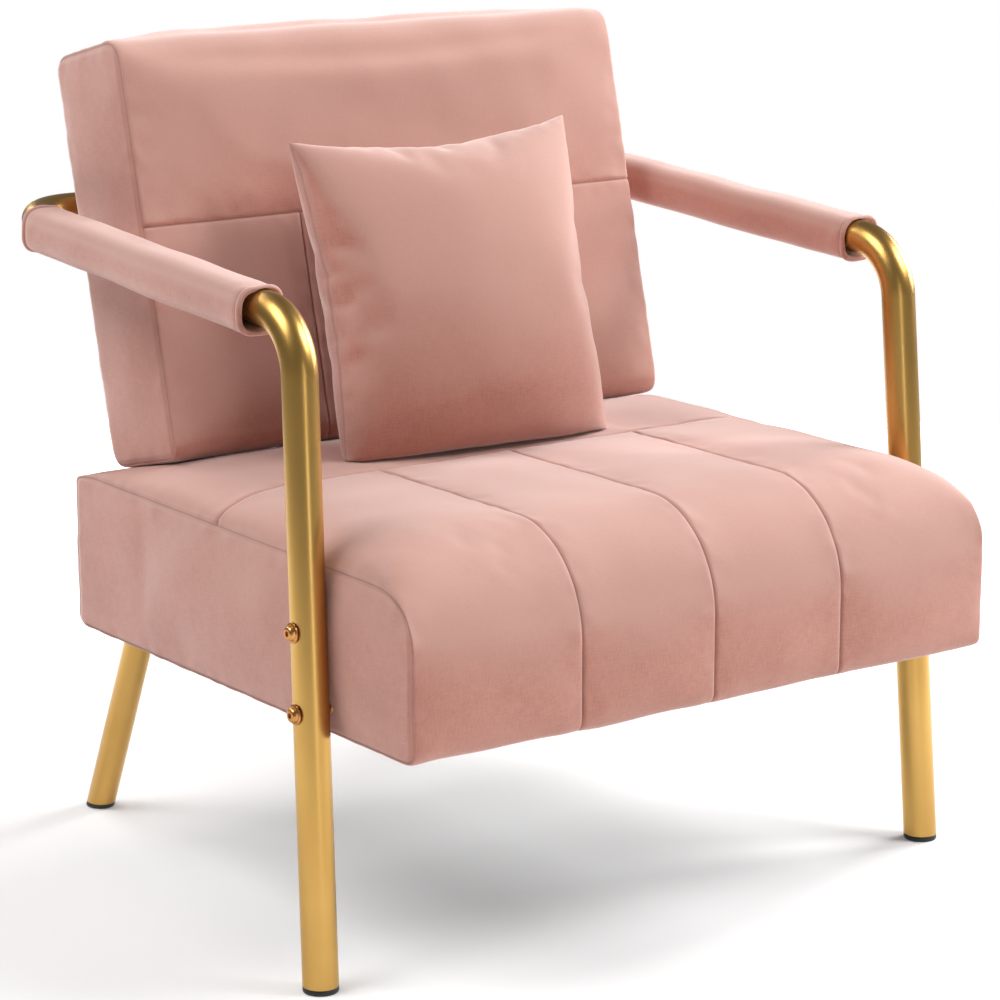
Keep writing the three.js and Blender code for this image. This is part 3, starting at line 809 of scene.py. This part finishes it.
def eased(points, quads, weight, rounds):
    """Relaxes points toward the middle of their neighbours, more where the weight is larger."""
    edges = np.array([(quad[k], quad[(k + 1) % 4]) for quad in quads for k in range(4)])
    count = np.bincount(edges.ravel(), minlength=len(points))[:, None]
    for _ in range(rounds):
        total = np.zeros_like(points)
        np.add.at(total, edges[:, 0], points[edges[:, 1]])
        np.add.at(total, edges[:, 1], points[edges[:, 0]])
        points = points + weight[:, None] * (total / count - points)
    return points


def rested(points, a, b, depth=130.0, arch=1.5):
    """Lowers the lower edge onto the seat, as the pillow's own weight does, and leaves a slight arch."""
    rim = b < -0.999
    order = np.argsort(a[rim])
    along, height = a[rim][order], points[rim][order][:, 2]
    drop = np.interp(a, along, height) - arch * (1 - a * a)
    fade = np.clip(1 - points[:, 2] / depth, 0, 1)
    points[:, 2] -= drop * fade * fade * (3 - 2 * fade)
    return points


def pressed(points, softness=6.0, clear=0.5):
    """Heights of points that sank into the seat, pushed back up onto its surface with a soft bend."""
    mesh = seat_cover.data
    seat = BVHTree.FromPolygons([v.co for v in mesh.vertices], [p.vertices for p in mesh.polygons])
    heights = points[:, 2].copy()
    for i in np.flatnonzero(heights < PILLOW_AT.z + 30):
        x, y, z = points[i]
        hit = seat.ray_cast(Vector((x, y, 600)) * MM, Vector((0, 0, -1)))[0]
        floor = hit.z / MM + clear if hit else PILLOW_AT.z
        heights[i] = floor + (z - floor + sqrt((z - floor) ** 2 + softness**2)) / 2
    return heights


def build_pillow():
    places, quads = pillow_layers()
    a, b, side = places.T
    half = PILLOW_SIDE / 2
    swell = PILLOW_HALF_THICK * ((1 - a * a) * (1 - b * b)) ** 0.45
    tuck_x, tuck_z = 1 - 0.07 * (1 - b * b) * np.abs(a), 1 - 0.07 * (1 - a * a) * np.abs(b)
    swollen = np.column_stack([a * half * tuck_x, side * swell, b * half * tuck_z])
    cut = np.column_stack([a * PILLOW_CUT / 2, side * 0.5, b * PILLOW_CUT / 2])
    cloth = np.column_stack([a, b]) * PILLOW_CUT / 2 * MM
    piece = mesh_object("pillow_cover", swollen * MM, quads, cloth)
    edge = (1 - np.maximum(np.abs(a), np.abs(b))) * PILLOW_CUT / 2
    attribute(piece, "seam", edge)
    unpinned = np.zeros(len(places))
    inflate(piece, unpinned, PILLOW_PRESSURE, PILLOW_CAP, PILLOW_FRAMES, bending=0.1, flat=cut * MM)
    settled = coordinates(piece) / MM
    low, high = settled.min(0), settled.max(0)
    settled -= (low + high) / 2
    settled *= np.array([PILLOW_SIDE, 2 * PILLOW_HALF_THICK + 4, PILLOW_SIDE]) / (high - low)
    settled[:, 2] += PILLOW_SIDE / 2
    near_seat = np.clip(1.15 - settled[:, 2] / EASE_HEIGHT, 0, 1) * np.clip(4 - 4 * np.abs(a), 0.15, 1)
    inside = EASE_ELSEWHERE * np.clip(edge / 70, 0, 1)
    settled = eased(settled, quads, np.maximum(EASE_NEAR_SEAT * near_seat, inside), EASE_ROUNDS)
    settled = rested(settled, a, b)
    settled[:, 2] *= 1 + PILLOW_SETTLE / PILLOW_SIDE
    placed = settled @ np.array(PILLOW_TURN).T + np.array(PILLOW_AT)
    placed[:, 2] = pressed(placed - np.array([0, 0, PILLOW_SETTLE]))
    move_points(piece, placed * MM)
    subdivided(piece)
    relief(piece, groove=0.6, width=1.5, pucker=1.2, reach=10, slow=1.5, seed=21)
    finish_piece(piece, "velvet", body="pillow", replaces=["throw_pillow"])


build_pillow()

# %% [markdown]
# A padded sleeve goes round each arm tube: velvet over a strip of foam, rounder than square in section,
# thicker below and outside the tube than above it, and finished at both ends by a rolled hem that stands
# slightly proud. Rings round the arm run along the outside, turn over the hem and come back inside, so
# the sleeve is one closed skin with a real wall, and the dark gap under the tube is a real gap.

# %% Arm sleeves
SLEEVE_HALF = (22.6, 21.6)
SLEEVE_SHIFT = (3.0, -3.0)
SLEEVE_WALL, SLEEVE_SIDES, SLEEVE_SQUARENESS = 4.5, 72, 3.0
TUBE_CLEARANCE, CLOTH_ROUND_ARM = 0.2, 22
HEM = [(0.1, -1.6), (0.8, -0.2), (2.3, 0.9), (4.4, 0.8), (5.9, 0.1), (6.8, -0.5)]


def arm_axis(side):
    foot, end = Vector((ARM_FRONT.x * side, *ARM_FRONT.yz)), Vector((ARM_REAR.x * side, *ARM_REAR.yz))
    along = (end - foot).normalized()
    return foot, along


def sleeve_radius(angle, half, shift, side):
    """Distance from the tube's centre to a rounded square's outline, which is centred off the tube."""
    low, high = np.full_like(angle, 5.0), np.full_like(angle, 45.0)
    for _ in range(30):
        reach = (low + high) / 2
        x, z = reach * np.cos(angle) - shift[0] * side, reach * np.sin(angle) - shift[1]
        inside = np.abs(x / half[0]) ** SLEEVE_SQUARENESS + np.abs(z / half[1]) ** SLEEVE_SQUARENESS < 1
        low, high = np.where(inside, reach, low), np.where(inside, high, reach)
    return reach


def build_sleeve(name, side):
    foot, along = arm_axis(side)
    up = Vector((1, 0, 0)).cross(along).normalized()
    across = along.cross(up).normalized()
    angle = np.linspace(0, 2 * pi, SLEEVE_SIDES, endpoint=False)
    outer = sleeve_radius(angle, SLEEVE_HALF, SLEEVE_SHIFT, side)
    inset = tuple(h - SLEEVE_WALL for h in SLEEVE_HALF)
    inner = np.maximum(sleeve_radius(angle, inset, SLEEVE_SHIFT, side), TUBE_R + TUBE_CLEARANCE)
    length = SLEEVE_ENDS[1] - SLEEVE_ENDS[0]
    body = np.linspace(9, length - 9, 58)
    outside = HEM + [(s, 0.0) for s in body] + [(length - s, r) for s, r in HEM[::-1]]
    stitch = HEM[-1][0]
    rings, seams = [], []
    for s, proud in outside:
        rings.append((s, outer + proud))
        seams.append(min(abs(s - stitch), abs(length - s - stitch)))
    for s in np.concatenate([[length - 0.6, length - 3], np.linspace(length - 12, 12, 20), [3, 0.6]]):
        turn_in = 1.6 * np.exp(-min(s, length - s) / 1.5)
        rings.append((s, np.maximum(inner + turn_in, TUBE_R + TUBE_CLEARANCE)))
        seams.append(30.0)
    points, cloth, distance = [], [], []
    for (s, reach), seam in zip(rings, seams):
        centre = foot + along * ((SLEEVE_ENDS[0] + s - foot.y) / along.y)
        for a, r in zip(angle, reach):
            points.append(centre + across * (r * cos(a)) + up * (r * sin(a)))
            cloth.append((s, a * CLOTH_ROUND_ARM))
            distance.append(seam)
    quads = ring_quads(len(rings), SLEEVE_SIDES, closed=True)
    piece = mesh_object("sleeve_" + name, [p * MM for p in points], quads, np.array(cloth) * MM)
    attribute(piece, "seam", distance)
    outward(piece)
    subdivided(piece)
    relief(piece, groove=0.5, width=1.2, pucker=1.3, reach=16, slow=1.3, seed=31 + side)
    finish_piece(piece, "velvet", replaces=["arm_sleeve_" + name])


for name, side in SIDES.items():
    build_sleeve(name, side)

# %% [markdown]
# What follows a path or repeats is grown by Geometry Nodes: a small rule with named sizes makes every
# copy the same, and changing one number changes them all. `Rule` builds a tree with named inputs, and
# `grow` runs it on a mesh and keeps the result as a plain mesh.

# %% A small kit for geometry rules
class Rule:
    def __init__(self, name, **inputs):
        self.tree = bpy.data.node_groups.new(name, "GeometryNodeTree")
        self.tree.interface.new_socket("Geometry", in_out="INPUT", socket_type="NodeSocketGeometry")
        self.tree.interface.new_socket("Geometry", in_out="OUTPUT", socket_type="NodeSocketGeometry")
        for key, kind in inputs.items():
            label, kind = key.replace("_", " "), "NodeSocket" + kind
            self.tree.interface.new_socket(label, in_out="INPUT", socket_type=kind)
        self.entry = self.tree.nodes.new("NodeGroupInput")

    def input(self, name="Geometry"):
        return self.entry.outputs[name]

    def node(self, kind, settings=None, inputs=None, output=0):
        full = kind.startswith(("FunctionNode", "ShaderNode"))
        made = self.tree.nodes.new(kind if full else "GeometryNode" + kind)
        for key, value in (settings or {}).items():
            setattr(made, key, value)
        for key, value in (inputs or {}).items():
            if isinstance(value, bpy.types.NodeSocket):
                self.tree.links.new(value, made.inputs[key])
            else:
                made.inputs[key].default_value = value
        return made.outputs[output]

    def end(self, geometry):
        """Every rule ends by realising its copies and giving them their finish."""
        real = self.node("RealizeInstances", None, {"Geometry": geometry})
        smooth = self.node("SetShadeSmooth", None, {"Geometry": real})
        dressed = self.node("SetMaterial", None, {"Geometry": smooth, "Material": self.input("Finish")})
        leave = self.tree.nodes.new("NodeGroupOutput")
        self.tree.links.new(dressed, leave.inputs["Geometry"])


def grow(name, rule, seed_mesh, **values):
    """A new plain mesh: the rule's result on `seed_mesh`, with the rule's inputs set by name."""
    piece = bpy.data.objects.new(name, seed_mesh)
    bpy.context.scene.collection.objects.link(piece)
    modifier = piece.modifiers.new("rule", "NODES")
    modifier.node_group = rule.tree
    for item in rule.tree.interface.items_tree:
        key = item.name.replace(" ", "_")
        if item.in_out == "INPUT" and key in values:
            modifier[item.identifier] = values[key]
    return applied(piece)


def seed_of(points, edges=(), **attributes):
    """Loose points, or a line through them, that a rule starts from."""
    data = bpy.data.meshes.new("seed")
    data.from_pydata([tuple(Vector(p) * MM) for p in points], list(edges), [])
    for key, vectors in attributes.items():
        layer = data.attributes.new(key, "FLOAT_VECTOR", "POINT")
        layer.data.foreach_set("vector", np.array(vectors, np.float32).ravel())
    return data


print("geometry rules ready")

# %% [markdown]
# Each side of the frame is one steel tube: up the front leg, along the arm and in behind the back. On
# the real chair a bender turns it round a former, so both bends have one radius. The rule says exactly
# that: a line through the corners, its corners filleted, and a circle swept along it. The foot is cut
# level just above the floor cap.

# %% Bent tubes
CUT_HEIGHT = CAP_HEIGHT + 0.3
tube_rule = Rule("bent_tube", Tube_Radius="Float", Bend_Radius="Float", Sides="Int", Bend_Steps="Int",
                 Finish="Material")
centre_line = tube_rule.node("MeshToCurve", None, {"Mesh": tube_rule.input()})
filleted = tube_rule.node("FilletCurve", {"mode": "POLY"}, {
    "Curve": centre_line, "Count": tube_rule.input("Bend Steps"), "Radius": tube_rule.input("Bend Radius")})
circle = tube_rule.node("CurvePrimitiveCircle", {"mode": "RADIUS"}, {
    "Resolution": tube_rule.input("Sides"), "Radius": tube_rule.input("Tube Radius")})
swept = {"Curve": filleted, "Profile Curve": circle, "Fill Caps": True}
tube_rule.end(tube_rule.node("CurveToMesh", None, swept))


def on_side(v, side):
    return Vector((v.x * side, v.y, v.z))


def cut_level(piece, height):
    """Cuts away what is below a height and closes the cut."""
    mesh = bmesh.new()
    mesh.from_mesh(piece.data)
    bmesh.ops.remove_doubles(mesh, verts=mesh.verts[:], dist=1e-6)
    every = mesh.verts[:] + mesh.edges[:] + mesh.faces[:]
    cut = bmesh.ops.bisect_plane(mesh, geom=every, plane_co=(0, 0, height * MM), plane_no=(0, 0, 1),
                                 clear_inner=True)
    rim = [e for e in cut["geom_cut"] if isinstance(e, bmesh.types.BMEdge)]
    bmesh.ops.edgeloop_fill(mesh, edges=rim)
    bmesh.ops.recalc_face_normals(mesh, faces=mesh.faces[:])
    mesh.to_mesh(piece.data)
    mesh.free()
    sharpen(piece)


def sharpen(piece, angle=40):
    """Smooth shading everywhere but across edges sharper than `angle`."""
    mesh = bmesh.new()
    mesh.from_mesh(piece.data)
    for face in mesh.faces:
        face.smooth = True
    for edge in mesh.edges:
        edge.smooth = not edge.is_manifold or edge.calc_face_angle(0) < radians(angle)
    mesh.to_mesh(piece.data)
    mesh.free()


def build_arm_tube(name, side):
    below = FRONT_FOOT.lerp(ARM_FRONT, -0.05)
    end = Vector((RETURN_END, ARM_REAR.y, ARM_REAR.z))
    corners = [on_side(p, side) for p in (below, ARM_FRONT, ARM_REAR, end)]
    piece = grow("arm_tube_" + name, tube_rule, seed_of(corners, [(0, 1), (1, 2), (2, 3)]),
                 Tube_Radius=TUBE_R * MM, Bend_Radius=BEND_R * MM, Sides=56, Bend_Steps=22, Finish=gold)
    cut_level(piece, CUT_HEIGHT)
    finish_piece(piece, "gold_tube", replaces=["arm_frame_" + name])


for name, side in SIDES.items():
    build_arm_tube(name, side)

# %% [markdown]
# The rear legs are thinner tubes that lean out and back, each welded to a square plate with rounded
# corners that four screws hold to the seat frame. The weld is a small uneven bead round the joint, which
# is what the eye expects where a tube meets a plate.

# %% Rear legs with their plates
PLATE_X, PLATE_Y, PLATE_Z = (232, 300), (158, 230), (217.2, 221.2)
PLATE_CORNER, PLATE_EDGE = 9.0, 0.8
BEAD_THICK, BEAD_RIPPLE, BEAD_WANDER = 1.9, 0.35, 0.2


def merged(name, pieces):
    """One mesh from several plain ones."""
    mesh = bmesh.new()
    for piece in pieces:
        mesh.from_mesh(piece.data)
        bpy.data.objects.remove(piece)
    data = bpy.data.meshes.new(name)
    mesh.to_mesh(data)
    mesh.free()
    whole = bpy.data.objects.new(name, data)
    bpy.context.scene.collection.objects.link(whole)
    return whole


def plate(name, x, y, z):
    """A flat plate between pairs of sizes, with round corners and softened rims."""
    mesh = bmesh.new()
    bmesh.ops.create_cube(mesh, size=1)
    size = Vector((abs(x[1] - x[0]), y[1] - y[0], z[1] - z[0]))
    middle = Vector(((x[0] + x[1]) / 2, (y[0] + y[1]) / 2, (z[0] + z[1]) / 2))
    for vertex in mesh.verts:
        vertex.co = Vector(c * s for c, s in zip(vertex.co, size)) + middle
    upright = [e for e in mesh.edges if abs(e.verts[0].co.z - e.verts[1].co.z) > 0.1]
    bmesh.ops.bevel(mesh, geom=upright, offset=PLATE_CORNER, segments=8, profile=0.5, affect="EDGES")
    rims = [e for e in mesh.edges if e.is_manifold and e.calc_face_angle(0) > radians(50)]
    bmesh.ops.bevel(mesh, geom=rims, offset=PLATE_EDGE, segments=2, profile=0.5, affect="EDGES")
    for vertex in mesh.verts:
        vertex.co *= MM
    data = bpy.data.meshes.new(name)
    mesh.to_mesh(data)
    mesh.free()
    piece = bpy.data.objects.new(name, data)
    bpy.context.scene.collection.objects.link(piece)
    sharpen(piece)
    return piece


def weld_bead(centre, radius, lift):
    """A lumpy ring: many short overlapping ripples, as a weld leaves."""
    points, quads, around, across = [], [], 120, 10
    for i in range(around):
        a = 2 * pi * i / around
        thick = BEAD_THICK + BEAD_RIPPLE * sin(26 * a) + BEAD_WANDER * sin(7 * a + 1)
        for k in range(across):
            b = 2 * pi * k / across
            reach = radius + thick * cos(b)
            x, y, z = centre.x + reach * cos(a), centre.y + reach * sin(a), lift + thick * 0.8 * sin(b)
            points.append((x * MM, y * MM, z * MM))
    for i in range(around):
        for k in range(across):
            j, m = (i + 1) % around, (k + 1) % across
            quads.append((i * across + k, j * across + k, j * across + m, i * across + m))
    return mesh_object("bead", points, quads)


def build_rear_leg(name, side):
    foot, top = on_side(REAR_FOOT, side), on_side(REAR_TOP, side)
    along = (top - foot).normalized()
    ends = [foot - along * 30, foot + along * ((PLATE_Z[0] + 1.5) / along.z)]
    tube = grow("leg", tube_rule, seed_of(ends, [(0, 1)]), Tube_Radius=REAR_TUBE_R * MM, Bend_Radius=0.0,
                Sides=48, Bend_Steps=1, Finish=gold)
    cut_level(tube, CUT_HEIGHT)
    flat = plate("plate", sorted((PLATE_X[0] * side, PLATE_X[1] * side)), PLATE_Y, PLATE_Z)
    joint = foot + along * (PLATE_Z[0] / along.z)
    bead = weld_bead(joint, REAR_TUBE_R + 0.6, PLATE_Z[0] - 0.6)
    piece = merged("rear_leg_tube_" + name, [tube, flat, bead])
    finish_piece(piece, "gold_tube", replaces=["rear_leg_" + name])


for name, side in SIDES.items():
    build_rear_leg(name, side)

# %% [markdown]
# A cap under each foot keeps the tube off the floor, and a plug closes each tube behind the back. Both
# are turned parts, so each is a profile swung round the tube's line; a foot cap is then sheared so that
# it lies flat on the floor under its leaning tube.

# %% Foot caps and end plugs
PLUG_PROFILE = [(-3, 0), (-3, 11), (-2.6, 14.2), (-1.6, 15.7), (-0.3, 16), (-0.3, 14.4), (15, 14.2), (15, 0)]


def turned(name, profile, base, along, sides=56, level=False):
    """Swings (distance along, radius) pairs round a line; `level` keeps each ring horizontal."""
    across = along.cross(Vector((0, 1, 0.3))).normalized()
    other = along.cross(across).normalized()
    points = [base + along * profile[0][0]]
    for s, r in profile[1:-1]:
        for k in range(sides):
            a = 2 * pi * k / sides
            spoke = across * (r * cos(a)) + other * (r * sin(a))
            reach = s - spoke.z / along.z if level else s
            points.append(base + along * reach + spoke)
    points.append(base + along * profile[-1][0])
    rings, end = len(profile) - 2, len(points) - 1
    faces = ring_quads(rings, sides, start=1)
    for k in range(sides):
        m = (k + 1) % sides
        faces.append((0, 1 + k, 1 + m))
        faces.append((end, end - sides + m, end - sides + k))
    piece = mesh_object(name, [p * MM for p in points], [face[::-1] for face in faces])
    outward(piece)
    sharpen(piece, 50)
    return piece


def build_cap(name, foot, top, radius, node):
    along = (top - foot).normalized()
    rise = 1 / along.z
    profile = [(0, 0), (0, radius - 3), (0, radius - 1.2), (0.35 * rise, radius - 0.4), (1.2 * rise, radius),
               ((CAP_HEIGHT - 0.5) * rise, radius), (CAP_HEIGHT * rise, radius - 0.5),
               (CAP_HEIGHT * rise, radius - 1.9), (24 * rise, radius - 2.0), (24 * rise, 0)]
    piece = turned(name, profile, foot, along, level=True)
    finish_piece(piece, "black_plastic", replaces=[node])


for name, side in SIDES.items():
    foot, top = on_side(FRONT_FOOT, side), on_side(ARM_FRONT, side)
    build_cap("front_cap_" + name, foot, top, TUBE_R, "front_foot_cap_" + name)
    foot, top = on_side(REAR_FOOT, side), on_side(REAR_TOP, side)
    build_cap("rear_cap_" + name, foot, top, REAR_TUBE_R, "rear_foot_cap_" + name)
    tube_end = Vector((RETURN_END * side, ARM_REAR.y, ARM_REAR.z))
    plug = turned("end_plug_" + name, PLUG_PROFILE, tube_end, Vector((side, 0, 0)))
    finish_piece(plug, "black_plastic", replaces=["return_plug_" + name])

# %% [markdown]
# Every bolt is the same button head with a flange and a hexagonal socket, in two sizes. One head is
# turned below, and a rule places a copy and a shank on each seed point, pointed along the seed's own
# direction.

# %% Bolts and screws
BOLT = {"radius": 4.0, "head": 7.0, "height": 4.2, "flange": 9.0, "flange_height": 1.4, "socket": 2.9}
SCREW = {"radius": 3.0, "head": 5.2, "height": 3.2, "flange": 5.8, "flange_height": 0.8, "socket": 2.1}
HEAD_SIDES, HEAD_ARC, SOCKET_DEPTH = 48, pi / 2 * 0.82, 2.4
LEG_BOLT_HEIGHTS, RETURN_BOLTS_X = (247, 318), (155, 195)
PLATE_SCREWS_X, PLATE_SCREWS_Y = (240, 291), (168, 212)
LEG_BOLT_LENGTH, RETURN_BOLT_LENGTH, SCREW_LENGTH = 92, 66, 34


def bolt_head(kind):
    """A head with its seat at the origin, rising along -Z, so that +Z is the shank's direction."""
    head, flange, socket = kind["head"], kind["flange"], kind["socket"]
    low = -kind["flange_height"]
    top = low - kind["height"]
    rise = [(0, flange), (low * 0.7, flange), (low, flange - 0.5), (low - 0.1, head + 0.2)]
    for step in np.linspace(0.15, 1, 7):
        angle = step * HEAD_ARC
        height = low + (top - low) * sin(angle) / sin(HEAD_ARC)
        rise.append((height, head * (0.55 + 0.45 * cos(angle))))
    turns = [2 * pi * k / HEAD_SIDES for k in range(HEAD_SIDES)]
    points = [(r * cos(a), r * sin(a), z) for z, r in rise for a in turns]
    for depth in (top, top + SOCKET_DEPTH):
        for a in turns:
            r = socket * cos(pi / 6) / cos((a % (pi / 3)) - pi / 6)
            points.append((r * cos(a), r * sin(a), depth))
    faces = ring_quads(len(points) // HEAD_SIDES, HEAD_SIDES)
    faces.append(range(HEAD_SIDES)[::-1])
    faces.append(range(len(points) - HEAD_SIDES, len(points)))
    piece = mesh_object("head", [Vector(p) * MM for p in points], faces)
    outward(piece)
    return piece


bolt_rule = Rule("bolts", Head="Object", Shank_Radius="Float", Shank_Length="Float", Finish="Material")
direction = bolt_rule.node("InputNamedAttribute", {"data_type": "FLOAT_VECTOR"}, {"Name": "along"})
turned_to = bolt_rule.node("FunctionNodeAlignRotationToVector", {"axis": "Z"}, {"Vector": direction})
pattern_head = {"Object": bolt_rule.input("Head")}
head_copy = bolt_rule.node("ObjectInfo", {"transform_space": "ORIGINAL"}, pattern_head, output=4)
shank = bolt_rule.node("MeshCylinder", None, {
    "Vertices": 20, "Radius": bolt_rule.input("Shank Radius"), "Depth": bolt_rule.input("Shank Length")})
halved = {0: bolt_rule.input("Shank Length"), 1: 0.5}
half_length = bolt_rule.node("ShaderNodeMath", {"operation": "MULTIPLY"}, halved)
half_offset = bolt_rule.node("ShaderNodeCombineXYZ", None, {"Z": half_length})
seated = bolt_rule.node("Transform", None, {"Geometry": shank, "Translation": half_offset})
one_bolt = bolt_rule.tree.nodes.new("GeometryNodeJoinGeometry")
bolt_rule.tree.links.new(head_copy, one_bolt.inputs[0])
bolt_rule.tree.links.new(seated, one_bolt.inputs[0])
as_one = bolt_rule.node("GeometryToInstance", None, {"Geometry": one_bolt.outputs[0]})
bolt_rule.end(bolt_rule.node("InstanceOnPoints", None, {
    "Points": bolt_rule.input(), "Instance": as_one, "Rotation": turned_to}))


def leg_at(z):
    return FRONT_FOOT.lerp(ARM_FRONT, z / ARM_FRONT.z)


def from_lean(x, v, u):
    return Vector(lean(np.array([[x, v, u]]))[0])


LEAN_IN = Vector((0, -cos(RECLINE), sin(RECLINE)))
RETURN_V, RETURN_U = unlean(*ARM_REAR)[1:]


def build_bolts(name, side):
    inwards, up, proud = Vector((-side, 0, 0)), Vector((0, 0, 1)), 0.3
    leg = [on_side(leg_at(z) + Vector((TUBE_R + proud, 0, 0)), side) for z in LEG_BOLT_HEIGHTS]
    back = [from_lean(x * side, RETURN_V + TUBE_R + proud, RETURN_U) for x in RETURN_BOLTS_X]
    under = [Vector((x * side, y, PLATE_Z[0] - proud)) for x in PLATE_SCREWS_X for y in PLATE_SCREWS_Y]
    groups = [
        ("leg_bolts_", leg, inwards, BOLT, LEG_BOLT_LENGTH, "leg_bolt_"),
        ("return_bolts_", back, LEAN_IN, BOLT, RETURN_BOLT_LENGTH, "return_bolt_"),
        ("plate_screws_", under, up, SCREW, SCREW_LENGTH, "plate_bolt_"),
    ]
    for label, seats, direction, kind, length, stands_for in groups:
        pattern, seed = bolt_head(kind), seed_of(seats, along=[direction] * len(seats))
        piece = grow(label + name, bolt_rule, seed, Head=pattern, Shank_Radius=kind["radius"] * MM,
                     Shank_Length=length * MM, Finish=bolt_metal)
        bpy.data.objects.remove(pattern)
        sharpen(piece, 38)
        replaced = [f"{stands_for}{name}_{i + 1}" for i in range(len(seats))]
        finish_piece(piece, "bolt_metal", replaces=replaced)


for name, side in SIDES.items():
    build_bolts(name, side)

# %% [markdown]
# Between each leg and the seat sits a spacer, so that the bolts don't crush the cover. It is made of two
# small collars on the bolts' lines, plated like the legs, so that it stays out of sight.

# %% Leg spacers
COLLAR_PROFILE = [(0, 0), (0, 3.9), (0.4, 4.3), (2.8, 4.3), (3.2, 3.9), (3.2, 0)]


def build_spacers(name, side):
    collars = []
    for z in LEG_BOLT_HEIGHTS:
        base = Vector(((SEAT_HALF + 0.3) * side, leg_at(z).y, z))
        collars.append(turned("collar", COLLAR_PROFILE, base, Vector((side, 0, 0))))
    finish_piece(merged("leg_spacers_" + name, collars), "gold_tube", replaces=["leg_pad_" + name])


for name, side in SIDES.items():
    build_spacers(name, side)

# %% [markdown]
# What is inside or behind the upholstery keeps the frame's own shapes: the beech rails, posts and blocks,
# the springs, the straps with their screws, the saddles and the dust cover. Each needs only its finish.

# %% Finishes for the parts that keep their own shape
KEPT = {"seat_rail": "frame_wood", "corner_block": "frame_wood", "back_post": "frame_wood",
        "back_rail": "frame_wood", "seat_spring": "spring_steel", "back_strap": "spring_steel",
        "strap_bolt": "bolt_metal", "dust_cover": "lining", "return_saddle": "black_plastic"}
kept = 0
for node_name, node in nodes.items():
    for prefix, slot in KEPT.items():
        if node_name.startswith(prefix):
            for place in node.material_slots:
                place.material = FINISH[slot]
            kept += 1
print("kept frame parts:", kept)

# %% [markdown]
# The chair stands on a plain pale floor in a bright studio: two broad soft lights on the right, one high
# and one low, one overhead on the left to open the shadows, and a little from behind to rim the edges. A
# narrow low light in front draws the bright line down the front legs. The floor glows a little more
# towards its rim, so that it melts into the white behind it.

# %% Floor and lights
FLOOR_RADIUS, FLOOR_SIDES = 2.1, 96
CHAIR_MIDDLE = (0, 0, 0.4)
BROAD = (1.6, 1.6)


def add_floor():
    turns = [2 * pi * k / FLOOR_SIDES for k in range(FLOOR_SIDES)]
    rim = [(FLOOR_RADIUS * cos(a), FLOOR_RADIUS * sin(a), 0) for a in turns]
    floor = mesh_object("floor", rim, [range(FLOOR_SIDES)], smooth=False)
    s = Shader("floor_paint", Base_Color=(0.84, 0.84, 0.84, 1), Roughness=0.9, Emission_Strength=1.0)
    place = s.node("ShaderNodeTexCoord", output=3)
    distance = s.node("ShaderNodeVectorMath", {"operation": "LENGTH"}, {0: place}, output=1)
    glow = s.mix(s.clamp(distance, 0.5, 1.9), (0.12, 0.12, 0.12, 1), (0.8, 0.8, 0.8, 1))
    cloud = s.noise(place, 3, 3, 0.5)
    floor.data.materials.append(s.set(Roughness=s.clamp(cloud, 0.3, 0.7, 0.86, 0.94), Emission_Color=glow))


def add_light(name, place, size, power, aim=CHAIR_MIDDLE):
    data = bpy.data.lights.new(name, "AREA")
    data.shape, data.size, data.size_y = "RECTANGLE", size[0], size[1]
    data.energy = power
    light = bpy.data.objects.new(name, data)
    bpy.context.scene.collection.objects.link(light)
    light.location = place
    light.rotation_euler = (Vector(place) - Vector(aim)).to_track_quat("Z", "Y").to_euler()
    return light


def set_world(camera_white=1.0, light_grey=0.18):
    """A white backdrop for the camera, and a dim grey sky for everything that is lit by it."""
    world = bpy.data.worlds.new("studio")
    bpy.context.scene.world = world
    world.use_nodes = True
    tree = world.node_tree
    background = tree.nodes["Background"]
    ray, blend = tree.nodes.new("ShaderNodeLightPath"), tree.nodes.new("ShaderNodeMix")
    blend.inputs[2].default_value, blend.inputs[3].default_value = light_grey, camera_white
    tree.links.new(ray.outputs["Is Camera Ray"], blend.inputs[0])
    tree.links.new(blend.outputs[0], background.inputs["Strength"])
    background.inputs["Color"].default_value = (1, 1, 1, 1)


add_floor()
set_world()
glint = add_light("glint", (-0.42, -1.75, 0.5), (0.14, 0.9), 1.8, aim=(-0.2, 0, 0.4))
glint.visible_camera = False
key = add_light("key", (2.1, -1.9, 3.0), BROAD, 107)
flank = add_light("flank", (3.2, -0.1, 1.5), BROAD, 118)
over = add_light("over", (-1.8, 0.3, 2.8), BROAD, 58)
rim = add_light("rim", (-0.6, 2.8, 2.2), (2.0, 1.4), 38)
bpy.context.scene.view_settings.view_transform = "Standard"
print("lights:", {light.name: light.data.energy for light in (glint, key, flank, over, rim)})
